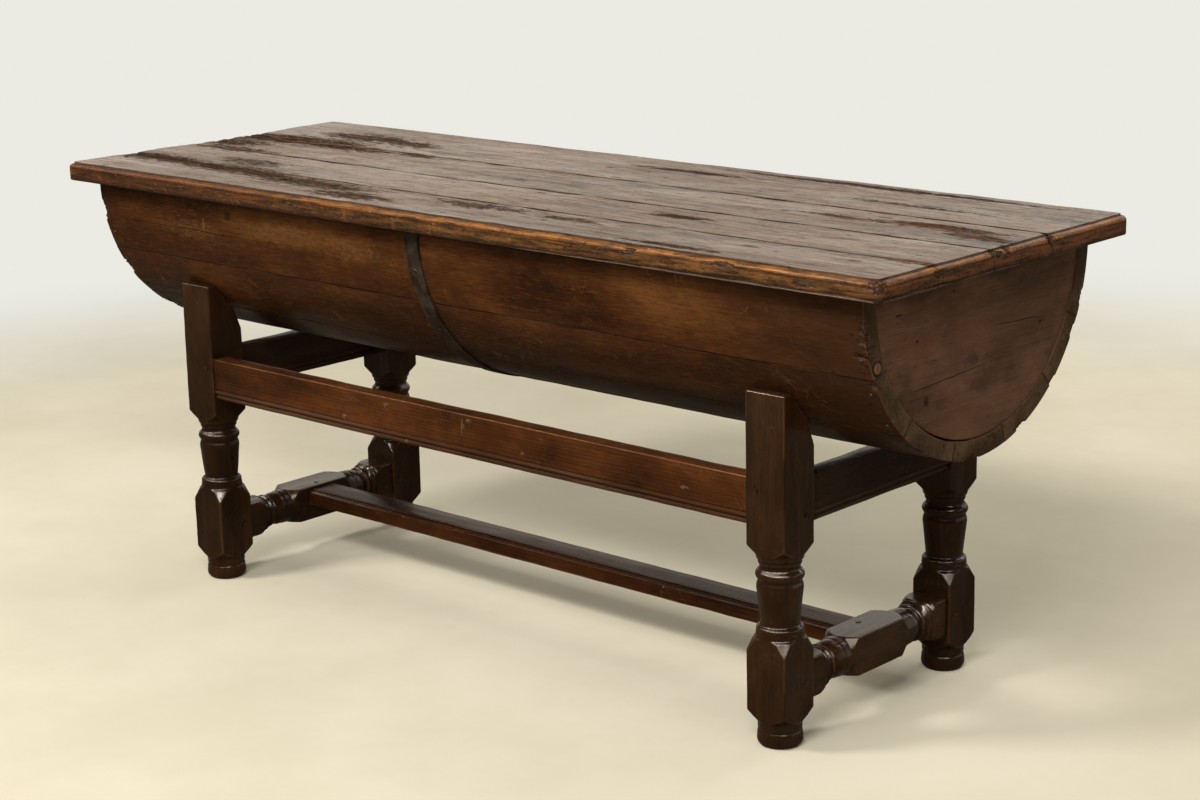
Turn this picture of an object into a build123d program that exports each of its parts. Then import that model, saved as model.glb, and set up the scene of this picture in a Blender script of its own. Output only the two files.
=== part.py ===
from build123d import *
from math import acos, cos, degrees, radians, sin, sqrt
import os

# Dough box: a half-round trough coopered from staves, cradled in the notched posts of a turned
# stand, with a planked lid hinged along its rear rim.
# Origin: the middle of the floor under the box. +X runs along it to the right, -Y is its front
# and +Z is up. Sizes are in millimetres.

# ---- Driving sizes ------------------------------------------------------------------------

# Trough
trough_length = 1678.0
trough_radius = 287.5
stave_thickness = 29.0
rim_stave_angle = 25.5
side_stave_angle = 23.5
stave_arris = 1.0
end_board_thickness = 25.0
end_board_setback = 2.0
end_board_gap = 0.1

# How the trough sits in the stand, by angles from straight down
cradle_gap = 0.3
cradle_top_angle = 53.13
cradle_bottom_angle = 42.6
post_ledge = 17.8
relief_drop = 47.0
rail_to_trough = 15.2

# Iron strap
strap_x = -38.0
strap_width = 30.0
strap_thickness = 2.5
strap_rim_gap = 3.0
strap_rim_nails = (6.0, 14.0)

# Legs
leg_size = 72.0
leg_end_inset = 165.0
post_arris = 1.5
toe_inset = 7.0
block_below_stretcher = 5.0
block_above_stretcher = 12.0
block_below_rail = 23.0

# A turning is its length, then how far the middle and the end of its curve stand out of the
# square's faces. A straight one has no middle, and a shoulder ends at the square's corners.
STRAIGHT = "straight"
SQUARE = "square"
foot_turnings = (
    (12.0, -1.8, -1.0),         # rounded toe
    (11.0, STRAIGHT, -2.0),     # foot
    (4.0, -4.0, -2.5),          # groove
    (11.0, STRAIGHT, -2.0),     # neck
    (24.0, 8.8, SQUARE),        # shoulder
)
shaft_turnings = (
    (27.0, 10.8, 3.6),          # shoulder
    (3.5, STRAIGHT, -0.8),      # collar
    (8.0, 0.6, -0.8),           # large bead
    (7.0, 0.0, -1.8),           # small bead
    (2.0, STRAIGHT, -6.3),      # fillet
    (57.5, -3.4, -0.4),         # vase
    (10.0, -1.0, -3.0),         # crown
    (3.0, STRAIGHT, -3.0),      # groove
    (14.0, 0.8, -3.0),          # torus
    (9.0, -5.8, -4.6),          # cove
    (7.0, -3.0, -4.6),          # bead
    (2.0, STRAIGHT, -0.5),      # fillet
    (6.0, STRAIGHT, 0.5),       # neck
    (19.0, 9.5, SQUARE),        # shoulder
)

# Rails
rail_height = 75.0
rail_thickness = 30.0
rail_setback = 3.0
rail_arris = 1.2
moulding_height = 14.0
moulding_step = 2.4
moulding_ovolo = 7.0

# Stretchers
stretcher_size = 62.0
stretcher_block_length = 100.0
stretcher_stub_length = 40.0
stretcher_ring = (4.0, 0.0, -1.5)
# These run from the block to the stub. The ones longer than this are stretched or shortened
# together to fit there, and the small ones keep their length.
stretcher_small_turning = 7.0
stretcher_turnings = (
    (24.0, 8.5, -1.5),          # shoulder
    stretcher_ring,
    stretcher_ring,
    stretcher_ring,
    (24.04, -1.4, -5.5),        # barrel
    (1.5, STRAIGHT, -7.0),      # fillet
    (2.5, STRAIGHT, -7.0),      # groove
    (7.0, -0.6, -6.5),          # bead
    (2.0, STRAIGHT, -5.0),      # neck
    (13.0, 1.0, SQUARE),        # shoulder
)

# Centre stretcher
board_width = 70.0
board_thickness = 28.0
board_top_drop = 4.0
board_bead_round = 6.5
board_bead_step = 2.5
board_bead_flat = 1.5

# Joinery
tenon_thickness = 10.0
tenon_shoulder = 12.0
tenon_crossing_gap = 7.0
board_tenon_wall = 24.0
mortise_end_gap = 2.0
mortise_side_gap = 0.1
peg_radius = 4.3
peg_inset = 18.0
peg_edge = 6.0
peg_proud = 0.7
peg_end_wall = 14.0
peg_gap = 0.05

# Lid
lid_thickness = 33.0
lid_gap = 0.3
lid_end_overhang = 51.0
lid_side_overhang = 32.5
front_plank_width = 135.0
mid_front_plank_width = 138.0
mid_rear_plank_width = 150.0
plank_arris = 0.9
lid_corner_radius = 14.0
edge_inset = 9.0
edge_step = 3.0
edge_ovolo = 8.0
edge_arris = 3.0
batten_spacing = 560.0
batten_rim_gap = 43.5
batten_width = 58.0
batten_thickness = 22.0
batten_chamfer = 4.0

# Hinges
hinge_spacing = 1120.0
hinge_length = 80.0
hinge_offset = 5.5
knuckle_radius = 4.5
knuckle_length = 26.0
knuckle_gap = 0.4
pin_radius = 2.0
pin_running_gap = 0.08
pin_fixed_gap = 0.02
pin_proud = 1.0
leaf_thickness = 2.5
trough_leaf_depth = 38.0
trough_leaf_nail_drop = 28.5
leaf_edge_gap = 5.0
leaf_knuckle_gap = 0.5
leaf_nail_edge = 8.4
hinge_nail_pitch = 28.0

# Nails
nail_head_radius = 3.2
nail_head_height = 1.2
nail_head_taper = 30.0
nail_shank_radius = 1.5
nail_gap = 0.05
nail_length = 22.0
nail_tip_room = 1.0
end_nail_length = 46.0
end_nail_spread = 6.5
batten_nail_bite = 22.0

# How far a cut starts outside the face it enters
cut_over = 5.0

# ---- Places worked out from the driving sizes ------------------------------------------------

# Heights, from the floor up
leg_half = leg_size / 2
stretcher_half = stretcher_size / 2
lower_block_bottom = sum(length for length, _, _ in foot_turnings)
lower_block_height = block_below_stretcher + stretcher_size + block_above_stretcher
stretcher_z = lower_block_bottom + block_below_stretcher + stretcher_half
shaft_height = sum(length for length, _, _ in shaft_turnings)
rail_bottom = lower_block_bottom + lower_block_height + shaft_height + block_below_rail
rail_z = rail_bottom + rail_height / 2
rim_z = rail_bottom + rail_height + rail_to_trough + trough_radius
lid_bottom = rim_z + lid_gap
lid_top = lid_bottom + lid_thickness

# The trough's bore and the posts that cradle it
bore_radius = trough_radius - stave_thickness
trough_end = trough_length / 2
cradle_radius = trough_radius + cradle_gap
post_top = rim_z - cradle_radius * cos(radians(cradle_top_angle))
cradle_bottom = rim_z - cradle_radius * cos(radians(cradle_bottom_angle))
notch_reach = cradle_radius * sin(radians(cradle_bottom_angle))
leg_x = trough_end - leg_end_inset - leg_half
leg_y = cradle_radius * sin(radians(cradle_top_angle)) + post_ledge - leg_half
leg_inner_x = leg_x - leg_half
leg_inner_y = leg_y - leg_half

# Rails, stretchers and their joints
rail_face_x = leg_x + leg_half - rail_setback
rail_face_y = leg_y + leg_half - rail_setback
stretcher_inner_x = leg_x - stretcher_half
board_top = stretcher_z + stretcher_half - board_top_drop
board_z = board_top - board_thickness / 2
tenon_length = (leg_size - rail_setback - (rail_thickness + tenon_thickness) / 2
                - tenon_crossing_gap - mortise_end_gap)
board_tenon_length = stretcher_size - board_tenon_wall
rail_tenon_height = rail_height - 2 * tenon_shoulder
stretcher_tenon_height = stretcher_size - 2 * tenon_shoulder
board_tenon_width = board_width - 2 * tenon_shoulder
slot_thickness = tenon_thickness + 2 * mortise_side_gap
peg_rise = rail_tenon_height / 2 - peg_edge
peg_depth = leg_size - peg_end_wall
peg_hole_radius = peg_radius + peg_gap

# Lid, hinges and nails
lid_length = trough_length + 2 * lid_end_overhang
lid_width = 2 * (trough_radius + lid_side_overhang)
batten_length = 2 * (bore_radius - batten_rim_gap)
batten_nail_length = batten_thickness + batten_nail_bite
hinge_y = trough_radius + hinge_offset
hinge_z = lid_bottom - hinge_offset
lid_leaf_depth = lid_side_overhang - hinge_offset - leaf_edge_gap
end_nail_x = trough_end - end_board_setback - end_board_thickness / 2
nail_hole_radius = nail_shank_radius + nail_gap
SIDES = {"left": -1, "right": 1}
DEPTHS = {"front": -1, "rear": 1}


def save(part, name):
    """Label a finished piece and write it as its own file."""
    part.label = name
    export_step(part, f"parts/{name}.step")


# ---- Shared shapes ---------------------------------------------------------------------------

def turned_line(start, half, turnings):
    """Draw a turned edge up from the start, one turning after another, and return its end."""
    for length, middle, end in turnings:
        reach = half * sqrt(2) + cut_over if end == SQUARE else half + end
        finish = (reach, start[1] + length)
        if middle == STRAIGHT:
            Line(start, finish)
        else:
            ThreePointArc(start, (half + middle, start[1] + length / 2), finish)
        start = finish
    return start


def ring_sector(inner, outer, start, end):
    """Draw a piece of a ring about the trough's axis, by angles from straight down."""
    with BuildSketch() as outline:
        with BuildLine():
            first = CenterArc((0, rim_z), outer, start - 90, end - start)
            second = CenterArc((0, rim_z), inner, start - 90, end - start)
            Line(first @ 0, second @ 0)
            Line(first @ 1, second @ 1)
        make_face()
    return outline.sketch


def radial_plane(x, angle, radius):
    """A plane that lies on the trough's round at this angle, facing outwards."""
    turn = radians(angle)
    outward = (0, sin(turn), -cos(turn))
    center = (x, radius * sin(turn), rim_z - radius * cos(turn))
    return Plane(origin=center, x_dir=(1, 0, 0), z_dir=outward)


def nails(planes, length):
    """A nail on each plane, with its head's underside on the plane."""
    with BuildPart() as pieces:
        for plane in planes:
            with BuildSketch(plane):
                Circle(nail_shank_radius)
            extrude(amount=-length)
            with BuildSketch(plane):
                Circle(nail_head_radius)
            extrude(amount=nail_head_height, taper=nail_head_taper)
    return pieces.part


def pegs(planes, length):
    """A peg on each plane, a little proud of the face it was driven into."""
    with BuildPart() as pieces:
        for plane in planes:
            with BuildSketch(plane.offset(peg_proud)):
                Circle(peg_radius)
            extrude(amount=-(length + peg_proud))
    return pieces.part


def holes(planes, depth, radius):
    """The round holes to cut down from these planes."""
    with BuildPart() as cuts:
        for plane in planes:
            with BuildSketch(plane.offset(cut_over)):
                Circle(radius)
            extrude(amount=-(depth + cut_over))
    return cuts.part


def cut_mortise(center, size):
    """Cut a mortise of this size."""
    with Locations(center):
        Box(*size, mode=Mode.SUBTRACT)


# ---- Where the pegs go -----------------------------------------------------------------------

def long_rail_peg_plane(side_x, side_y):
    """Where a long rail's peg enters a leg, on the leg's front or rear face."""
    place = (side_x * (leg_inner_x + peg_inset), side_y * (leg_y + leg_half), rail_z + peg_rise)
    return Plane(origin=place, x_dir=(1, 0, 0), z_dir=(0, side_y, 0))


def end_rail_peg_plane(side_x, side_y):
    """Where an end rail's peg enters a leg, on the leg's end face and below the long rail's."""
    place = (side_x * (leg_x + leg_half), side_y * (leg_inner_y + peg_inset), rail_z - peg_rise)
    return Plane(origin=place, x_dir=(0, 1, 0), z_dir=(side_x, 0, 0))


def stretcher_peg_plane(side_x, side_y):
    """Where an end stretcher's peg enters a leg, on the leg's end face."""
    place = (side_x * (leg_x + leg_half), side_y * (leg_inner_y + peg_inset), stretcher_z)
    return Plane(origin=place, x_dir=(0, 1, 0), z_dir=(side_x, 0, 0))


def board_peg_plane(side_x):
    """Where the centre stretcher's peg enters the top of an end stretcher's block."""
    place = (side_x * (stretcher_inner_x + peg_inset), 0, stretcher_z + stretcher_half)
    return Plane(origin=place, x_dir=(1, 0, 0), z_dir=(0, 0, 1))


# ---- Stand -----------------------------------------------------------------------------------

def leg_outline():
    """Draw half of the turned leg, from its axis outwards, up to the top of the post."""
    with BuildSketch() as outline:
        with BuildLine():
            toe = (leg_half - toe_inset, 0)
            Line((0, 0), toe)
            block = turned_line(toe, leg_half, foot_turnings)
            block_top = (block[0], block[1] + lower_block_height)
            Line(block, block_top)
            post = turned_line(block_top, leg_half, shaft_turnings)
            post_end = (post[0], post_top)
            Line(post, post_end)
            Line(post_end, (0, post_top))
            Line((0, post_top), (0, 0))
        make_face()
    return outline.sketch


def make_leg(side_x, side_y):
    """One leg: a turned post, notched at its top to the belly of the trough."""
    x, y = side_x * leg_x, side_y * leg_y
    room = tenon_length + mortise_end_gap
    room_x = side_x * (leg_inner_x + room / 2)
    room_y = side_y * (leg_inner_y + room / 2)
    with BuildPart() as leg:
        with BuildSketch(Plane(origin=(x, y, 0), x_dir=(1, 0, 0), z_dir=(0, -1, 0))):
            add(leg_outline())
        revolve(axis=Axis((x, y, 0), (0, 0, 1)))
        with BuildSketch(Plane.XY):
            with Locations((x, y)):
                Rectangle(leg_size, leg_size)
        extrude(amount=post_top, mode=Mode.INTERSECT)
        chamfer(leg.faces().sort_by(Axis.Z)[-1].edges(), post_arris)
        # The notch follows the trough, then runs down to the post's inner face.
        with BuildSketch(Plane.YZ.offset(x - leg_size)):
            with Locations((0, rim_z)):
                Circle(cradle_radius)
            with BuildLine():
                Polyline((side_y * notch_reach, cradle_bottom),
                         (side_y * leg_inner_y, cradle_bottom - relief_drop),
                         (0, cradle_bottom - relief_drop), (0, cradle_bottom), close=True)
            make_face()
        extrude(amount=2 * leg_size, mode=Mode.SUBTRACT)
        cut_mortise((room_x, side_y * (rail_face_y - rail_thickness / 2), rail_z),
                    (room, slot_thickness, rail_tenon_height + 2 * mortise_side_gap))
        cut_mortise((side_x * (rail_face_x - rail_thickness / 2), room_y, rail_z),
                    (slot_thickness, room, rail_tenon_height + 2 * mortise_side_gap))
        cut_mortise((x, room_y, stretcher_z),
                    (slot_thickness, room, stretcher_tenon_height + 2 * mortise_side_gap))
        rail_planes = [long_rail_peg_plane(side_x, side_y), end_rail_peg_plane(side_x, side_y)]
        add(holes(rail_planes, peg_depth, peg_hole_radius), mode=Mode.SUBTRACT)
        add(holes([stretcher_peg_plane(side_x, side_y)], leg_size + cut_over, peg_hole_radius),
            mode=Mode.SUBTRACT)
    return leg.part


def rail_section():
    """Draw a rail's section: x outwards from its face, y up from its middle."""
    top, bottom = rail_height / 2, -rail_height / 2
    ovolo_top = (-moulding_step, bottom + moulding_ovolo)
    ovolo_bottom = (-moulding_step - moulding_ovolo, bottom)
    with BuildSketch() as outline:
        with BuildLine():
            Polyline(ovolo_top, (-moulding_step, bottom + moulding_height - moulding_step),
                     (0, bottom + moulding_height), (0, top - rail_arris), (-rail_arris, top),
                     (-rail_thickness, top), (-rail_thickness, bottom), ovolo_bottom)
            RadiusArc(ovolo_bottom, ovolo_top, -moulding_ovolo)
        make_face()
    return outline.sketch


def make_rail(outward, face, length, peg_planes):
    """One rail with a tenon at each end. Its moulded face looks outwards."""
    section = Plane(origin=(outward[0] * face, outward[1] * face, rail_z),
                    x_dir=(outward[0], outward[1], 0), z_dir=(outward[1], -outward[0], 0))
    with BuildPart() as rail:
        with BuildSketch(section):
            add(rail_section())
        extrude(amount=length / 2, both=True)
        with BuildSketch(section):
            with Locations((-rail_thickness / 2, 0)):
                Rectangle(tenon_thickness, rail_tenon_height)
        extrude(amount=length / 2 + tenon_length, both=True)
        add(holes(peg_planes, peg_depth, peg_hole_radius), mode=Mode.SUBTRACT)
    return rail.part


def stretcher_outline():
    """Draw half of the turned end stretcher: x out from its axis, y along it from its middle."""
    square = stretcher_half * sqrt(2) + cut_over
    block_end = stretcher_block_length / 2
    stub_start = leg_inner_y - stretcher_stub_length
    lengths = [length for length, _, _ in stretcher_turnings]
    small = sum(length for length in lengths if length <= stretcher_small_turning)
    fit = (stub_start - block_end - small) / (sum(lengths) - small)
    turnings = [(length if length <= stretcher_small_turning else length * fit, middle, end)
                for length, middle, end in stretcher_turnings]
    with BuildSketch() as outline:
        with BuildLine():
            Line((0, 0), (square, 0))
            Line((square, 0), (square, block_end))
            turned_line((square, block_end), stretcher_half, turnings)
            Line((square, stub_start), (square, leg_inner_y))
            Line((square, leg_inner_y), (0, leg_inner_y))
            Line((0, leg_inner_y), (0, 0))
        make_face()
    return outline.sketch


def make_end_stretcher(side_x):
    """One turned end stretcher, with a square block in its middle and a tenon at each end."""
    x = side_x * leg_x
    room = board_tenon_length + mortise_end_gap
    across = Plane(origin=(x, 0, stretcher_z), x_dir=(1, 0, 0), z_dir=(0, -1, 0))
    with BuildPart() as stretcher:
        with BuildSketch(Plane(origin=(x, 0, stretcher_z), x_dir=(0, 0, 1), z_dir=(-1, 0, 0))):
            add(stretcher_outline())
        revolve(axis=Axis((x, 0, stretcher_z), (0, 1, 0)))
        mirror(about=Plane.XZ)
        with BuildSketch(across):
            Rectangle(stretcher_size, stretcher_size)
        extrude(amount=leg_inner_y, both=True, mode=Mode.INTERSECT)
        with BuildSketch(across):
            Rectangle(tenon_thickness, stretcher_tenon_height)
        extrude(amount=leg_inner_y + tenon_length, both=True)
        cut_mortise((side_x * (stretcher_inner_x + room / 2), 0, board_z),
                    (room, board_tenon_width + 2 * mortise_side_gap, slot_thickness))
        leg_planes = [stretcher_peg_plane(side_x, side_y) for side_y in DEPTHS.values()]
        add(holes(leg_planes, leg_size + cut_over, peg_hole_radius), mode=Mode.SUBTRACT)
        add(holes([board_peg_plane(side_x)], stretcher_size + cut_over, peg_hole_radius),
            mode=Mode.SUBTRACT)
    return stretcher.part


def board_section():
    """Draw the front half of the centre stretcher's section, from its middle."""
    step_z = board_top - board_bead_step
    round_start = board_bead_flat - board_width / 2 + board_bead_round
    round_end = (-board_width / 2, step_z - board_bead_round)
    with BuildSketch() as outline:
        with BuildLine():
            Polyline((0, board_top), (round_start + board_bead_flat, board_top),
                     (round_start + board_bead_flat, step_z), (round_start, step_z))
            RadiusArc((round_start, step_z), round_end, -board_bead_round)
            Polyline(round_end, (-board_width / 2, board_top - board_thickness),
                     (0, board_top - board_thickness), (0, board_top))
        make_face()
    return outline.sketch


def make_centre_stretcher():
    """The flat board between the two end stretchers, with moulded top edges and two tenons."""
    peg_planes = [board_peg_plane(side_x) for side_x in SIDES.values()]
    with BuildPart() as board:
        with BuildSketch(Plane.YZ):
            add(board_section())
            mirror(about=Plane.YZ)
        extrude(amount=stretcher_inner_x, both=True)
        with BuildSketch(Plane.YZ):
            with Locations((0, board_z)):
                Rectangle(board_tenon_width, tenon_thickness)
        extrude(amount=stretcher_inner_x + board_tenon_length, both=True)
        add(holes(peg_planes, stretcher_size + cut_over, peg_hole_radius), mode=Mode.SUBTRACT)
    return board.part


def make_rail_pegs():
    """The pegs that hold the rails' tenons."""
    corners = [(side_x, side_y) for side_x in SIDES.values() for side_y in DEPTHS.values()]
    planes = [long_rail_peg_plane(*corner) for corner in corners]
    planes += [end_rail_peg_plane(*corner) for corner in corners]
    return pegs(planes, peg_depth - mortise_end_gap)


def make_stretcher_pegs():
    """The pegs that hold the stretchers' tenons, each right through."""
    leg_planes = [stretcher_peg_plane(side_x, side_y)
                  for side_x in SIDES.values() for side_y in DEPTHS.values()]
    board_planes = [board_peg_plane(side_x) for side_x in SIDES.values()]
    with BuildPart() as pieces:
        add(pegs(leg_planes, leg_size + peg_proud))
        add(pegs(board_planes, stretcher_size))
    return pieces.part


# ---- Trough ----------------------------------------------------------------------------------

def stave_spans():
    """Each stave's name with its two edges, as angles from straight down, front to rear."""
    side_edge = 90 - rim_stave_angle
    belly_edge = side_edge - side_stave_angle
    bottom_edge = belly_edge / 3
    edges = (-90, -side_edge, -belly_edge, -bottom_edge, bottom_edge, belly_edge, side_edge, 90)
    names = ("stave_front_rim", "stave_front_side", "stave_front_belly", "stave_bottom",
             "stave_rear_belly", "stave_rear_side", "stave_rear_rim")
    return list(zip(names, edges[:-1], edges[1:]))


def end_nail_planes(x, start, end):
    """Two nails in the end of a stave, either side of its middle."""
    middle = (start + end) / 2
    return [radial_plane(x, angle, trough_radius)
            for angle in (middle - end_nail_spread, middle + end_nail_spread)]


def strap_nail_planes(start, end):
    """The strap's nails in one stave: one in its middle, or two in a rim stave."""
    if max(-start, end) == 90:
        side = 1 if end == 90 else -1
        angles = [side * (90 - below_rim) for below_rim in strap_rim_nails]
    else:
        angles = [(start + end) / 2]
    return [radial_plane(strap_x, angle, trough_radius + strap_thickness) for angle in angles]


def make_stave(start, end):
    """One stave: a slice of the trough's round, with eased outer edges and its nail holes."""
    end_planes = end_nail_planes(-end_nail_x, start, end) + end_nail_planes(end_nail_x, start, end)
    face_planes = strap_nail_planes(start, end)
    if end == 90:
        for side_x in SIDES.values():
            face_planes += trough_leaf_nail_planes(side_x)
    with BuildPart() as stave:
        with BuildSketch(Plane.YZ.offset(-trough_end)):
            add(ring_sector(bore_radius, trough_radius, start, end))
        extrude(amount=trough_length)
        outer = stave.edges().filter_by(Axis.X).filter_by(
            lambda edge: Vector(0, edge.center().Y, edge.center().Z - rim_z).length > bore_radius + 1)
        chamfer(outer, stave_arris)
        add(holes(end_planes, stave_thickness + cut_over, nail_hole_radius), mode=Mode.SUBTRACT)
        add(holes(face_planes, nail_length + nail_tip_room, nail_hole_radius), mode=Mode.SUBTRACT)
    return stave.part


def make_end_board(side_x):
    """The half-round board set inside the staves' ends."""
    inner_face = side_x * (end_nail_x - end_board_thickness / 2)
    nail_planes = []
    for _, start, end in stave_spans():
        nail_planes += end_nail_planes(side_x * end_nail_x, start, end)
    with BuildPart() as board:
        with BuildSketch(Plane.YZ.offset(inner_face)):
            with Locations((0, rim_z)):
                Circle(bore_radius - end_board_gap)
                Rectangle(2 * trough_radius, trough_radius, align=(Align.CENTER, Align.MIN),
                          mode=Mode.SUBTRACT)
        extrude(amount=side_x * end_board_thickness)
        add(holes(nail_planes, end_nail_length + nail_tip_room, nail_hole_radius),
            mode=Mode.SUBTRACT)
    return board.part


def make_end_board_nails():
    """The nails that hold the end boards, driven through the staves."""
    planes = []
    for _, start, end in stave_spans():
        for side_x in SIDES.values():
            planes += end_nail_planes(side_x * end_nail_x, start, end)
    return nails(planes, end_nail_length)


def all_strap_nail_planes():
    """Where all the strap's nails are driven, on its outer face."""
    planes = []
    for _, start, end in stave_spans():
        planes += strap_nail_planes(start, end)
    return planes


def make_iron_strap():
    """The iron strap round the middle of the trough."""
    rim_angle = 90 - degrees(strap_rim_gap / trough_radius)
    with BuildPart() as strap:
        with BuildSketch(Plane.YZ.offset(strap_x - strap_width / 2)):
            add(ring_sector(trough_radius, trough_radius + strap_thickness, -rim_angle, rim_angle))
        extrude(amount=strap_width)
        add(holes(all_strap_nail_planes(), 2 * strap_thickness, nail_hole_radius),
            mode=Mode.SUBTRACT)
    return strap.part


# ---- Hinges ----------------------------------------------------------------------------------

def knuckle_plane(x):
    """A section across the hinge's axis."""
    return Plane(origin=(x, hinge_y, hinge_z), x_dir=(0, 1, 0), z_dir=(1, 0, 0))


def leaf_nail_places(side_x):
    """Places of the nails along a leaf."""
    middle = side_x * hinge_spacing / 2
    return (middle - hinge_nail_pitch, middle, middle + hinge_nail_pitch)


def trough_leaf_nail_planes(side_x):
    """Where the fixed leaf's nails are driven."""
    angle = degrees(acos((rim_z - hinge_z + trough_leaf_nail_drop) / trough_radius))
    return [radial_plane(x, angle, trough_radius + leaf_thickness) for x in leaf_nail_places(side_x)]


def lid_leaf_nail_planes(side_x):
    """Where the moving leaf's nails are driven, up into the lid."""
    nail_y = hinge_y + lid_leaf_depth - leaf_nail_edge
    return [Plane(origin=(x, nail_y, lid_bottom - leaf_thickness), x_dir=(1, 0, 0), z_dir=(0, 0, -1))
            for x in leaf_nail_places(side_x)]


def make_trough_leaf(side_x):
    """The fixed leaf, bent to the rear stave, with a knuckle at each end."""
    middle = side_x * hinge_spacing / 2
    left = middle - hinge_length / 2
    top_angle = degrees(acos((rim_z - hinge_z) / trough_radius))
    low_angle = degrees(acos((rim_z - hinge_z + trough_leaf_depth) / trough_radius))
    tab_room = (hinge_length - 2 * knuckle_length, 2 * hinge_offset, 2 * (knuckle_radius + leaf_knuckle_gap))
    with BuildPart() as leaf:
        with BuildSketch(Plane.YZ.offset(left)):
            add(ring_sector(trough_radius, trough_radius + leaf_thickness, low_angle, top_angle))
        extrude(amount=hinge_length)
        for start in (left, left + hinge_length - knuckle_length):
            with BuildSketch(knuckle_plane(start)):
                Circle(knuckle_radius)
            extrude(amount=knuckle_length)
        with Locations((middle, trough_radius, hinge_z)):
            Box(*tab_room, mode=Mode.SUBTRACT)
        with BuildSketch(knuckle_plane(middle)):
            Circle(pin_radius + pin_fixed_gap)
        extrude(amount=hinge_length, both=True, mode=Mode.SUBTRACT)
        add(holes(trough_leaf_nail_planes(side_x), 2 * leaf_thickness, nail_hole_radius),
            mode=Mode.SUBTRACT)
    return leaf.part


def make_lid_leaf(side_x):
    """The moving leaf, flat under the lid's rear overhang, with the middle knuckle."""
    middle = side_x * hinge_spacing / 2
    tab_length = hinge_length - 2 * knuckle_length - 2 * knuckle_gap
    plate_start = knuckle_radius + leaf_knuckle_gap
    with BuildPart() as leaf:
        with BuildSketch(Plane.XY.offset(lid_bottom - leaf_thickness)):
            with Locations((middle, hinge_y + (plate_start + lid_leaf_depth) / 2)):
                Rectangle(hinge_length, lid_leaf_depth - plate_start)
            with Locations((middle, hinge_y + lid_leaf_depth / 2)):
                Rectangle(tab_length, lid_leaf_depth)
        extrude(amount=leaf_thickness)
        with BuildSketch(knuckle_plane(middle)):
            Circle(knuckle_radius)
        extrude(amount=tab_length / 2, both=True)
        with BuildSketch(knuckle_plane(middle)):
            Circle(pin_radius + pin_running_gap)
        extrude(amount=hinge_length, both=True, mode=Mode.SUBTRACT)
        add(holes(lid_leaf_nail_planes(side_x), 2 * leaf_thickness, nail_hole_radius),
            mode=Mode.SUBTRACT)
    return leaf.part


def make_hinge_pin(side_x):
    """The pin, as long as the hinge and a little more at each end."""
    with BuildPart() as pin:
        with BuildSketch(knuckle_plane(side_x * hinge_spacing / 2)):
            Circle(pin_radius)
        extrude(amount=hinge_length / 2 + pin_proud, both=True)
    return pin.part


# ---- Lid -------------------------------------------------------------------------------------

def batten_places():
    """Middles of the three battens along the lid, with their names."""
    return {"lid_batten_left": -batten_spacing, "lid_batten_middle": 0, "lid_batten_right": batten_spacing}


def plank_spans():
    """Each plank's name with its two edges, front to rear."""
    front = -lid_width / 2
    front_seam = front + front_plank_width
    middle_seam = front_seam + mid_front_plank_width
    edges = (front, front_seam, middle_seam, middle_seam + mid_rear_plank_width, lid_width / 2)
    names = ("lid_plank_front", "lid_plank_mid_front", "lid_plank_mid_rear", "lid_plank_rear")
    return list(zip(names, edges[:-1], edges[1:]))


def batten_nail_planes(batten_x, start, end):
    """Where two nails enter a batten, a quarter in from each side of a plank's crossing."""
    low, high = max(start, -batten_length / 2), min(end, batten_length / 2)
    quarter = (high - low) / 4
    return [Plane(origin=(batten_x, y, lid_bottom - batten_thickness), x_dir=(1, 0, 0), z_dir=(0, 0, -1))
            for y in (low + quarter, high - quarter)]


def make_lid_blank():
    """The whole lid before it is parted into planks: a stepped and rounded edge all round."""
    with BuildPart() as blank:
        with BuildSketch(Plane.XY.offset(lid_bottom)):
            RectangleRounded(lid_length, lid_width, lid_corner_radius)
        extrude(amount=lid_thickness - edge_step)
        fillet(blank.faces().sort_by(Axis.Z)[-1].edges(), edge_ovolo)
        fillet(blank.faces().sort_by(Axis.Z)[0].edges(), edge_arris)
        with BuildSketch(Plane.XY.offset(lid_top - edge_step)):
            RectangleRounded(lid_length - 2 * edge_inset, lid_width - 2 * edge_inset,
                             lid_corner_radius - edge_inset)
        extrude(amount=edge_step)
    return blank.part


def make_plank(blank, start, end):
    """One plank of the lid, with eased seams and its nail holes."""
    batten_planes = []
    for batten_x in batten_places().values():
        batten_planes += batten_nail_planes(batten_x, start, end)
    with BuildPart() as plank:
        add(blank)
        with BuildSketch(Plane.XY.offset(lid_bottom)):
            with Locations((0, (start + end) / 2)):
                Rectangle(lid_length, end - start)
        extrude(amount=lid_thickness, mode=Mode.INTERSECT)
        top_edges = plank.edges().filter_by(Axis.X).group_by(Axis.Z)[-1]
        moulded = lid_width / 2 - edge_inset - plank_arris
        seams = [edge for edge in top_edges if abs(edge.center().Y) < moulded]
        chamfer(seams, plank_arris)
        add(holes(batten_planes, batten_nail_length + nail_tip_room, nail_hole_radius),
            mode=Mode.SUBTRACT)
        if end == lid_width / 2:
            for side_x in SIDES.values():
                add(holes(lid_leaf_nail_planes(side_x), nail_length + nail_tip_room, nail_hole_radius),
                    mode=Mode.SUBTRACT)
    return plank.part


def make_batten(batten_x):
    """One batten under the planks, with its lower edges chamfered."""
    nail_planes = []
    for _, start, end in plank_spans():
        nail_planes += batten_nail_planes(batten_x, start, end)
    with BuildPart() as batten:
        with BuildSketch(Plane.XY.offset(lid_bottom - batten_thickness)):
            with Locations((batten_x, 0)):
                Rectangle(batten_width, batten_length)
        extrude(amount=batten_thickness)
        chamfer(batten.faces().sort_by(Axis.Z)[0].edges(), batten_chamfer)
        add(holes(nail_planes, batten_thickness + cut_over, nail_hole_radius), mode=Mode.SUBTRACT)
    return batten.part


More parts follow.
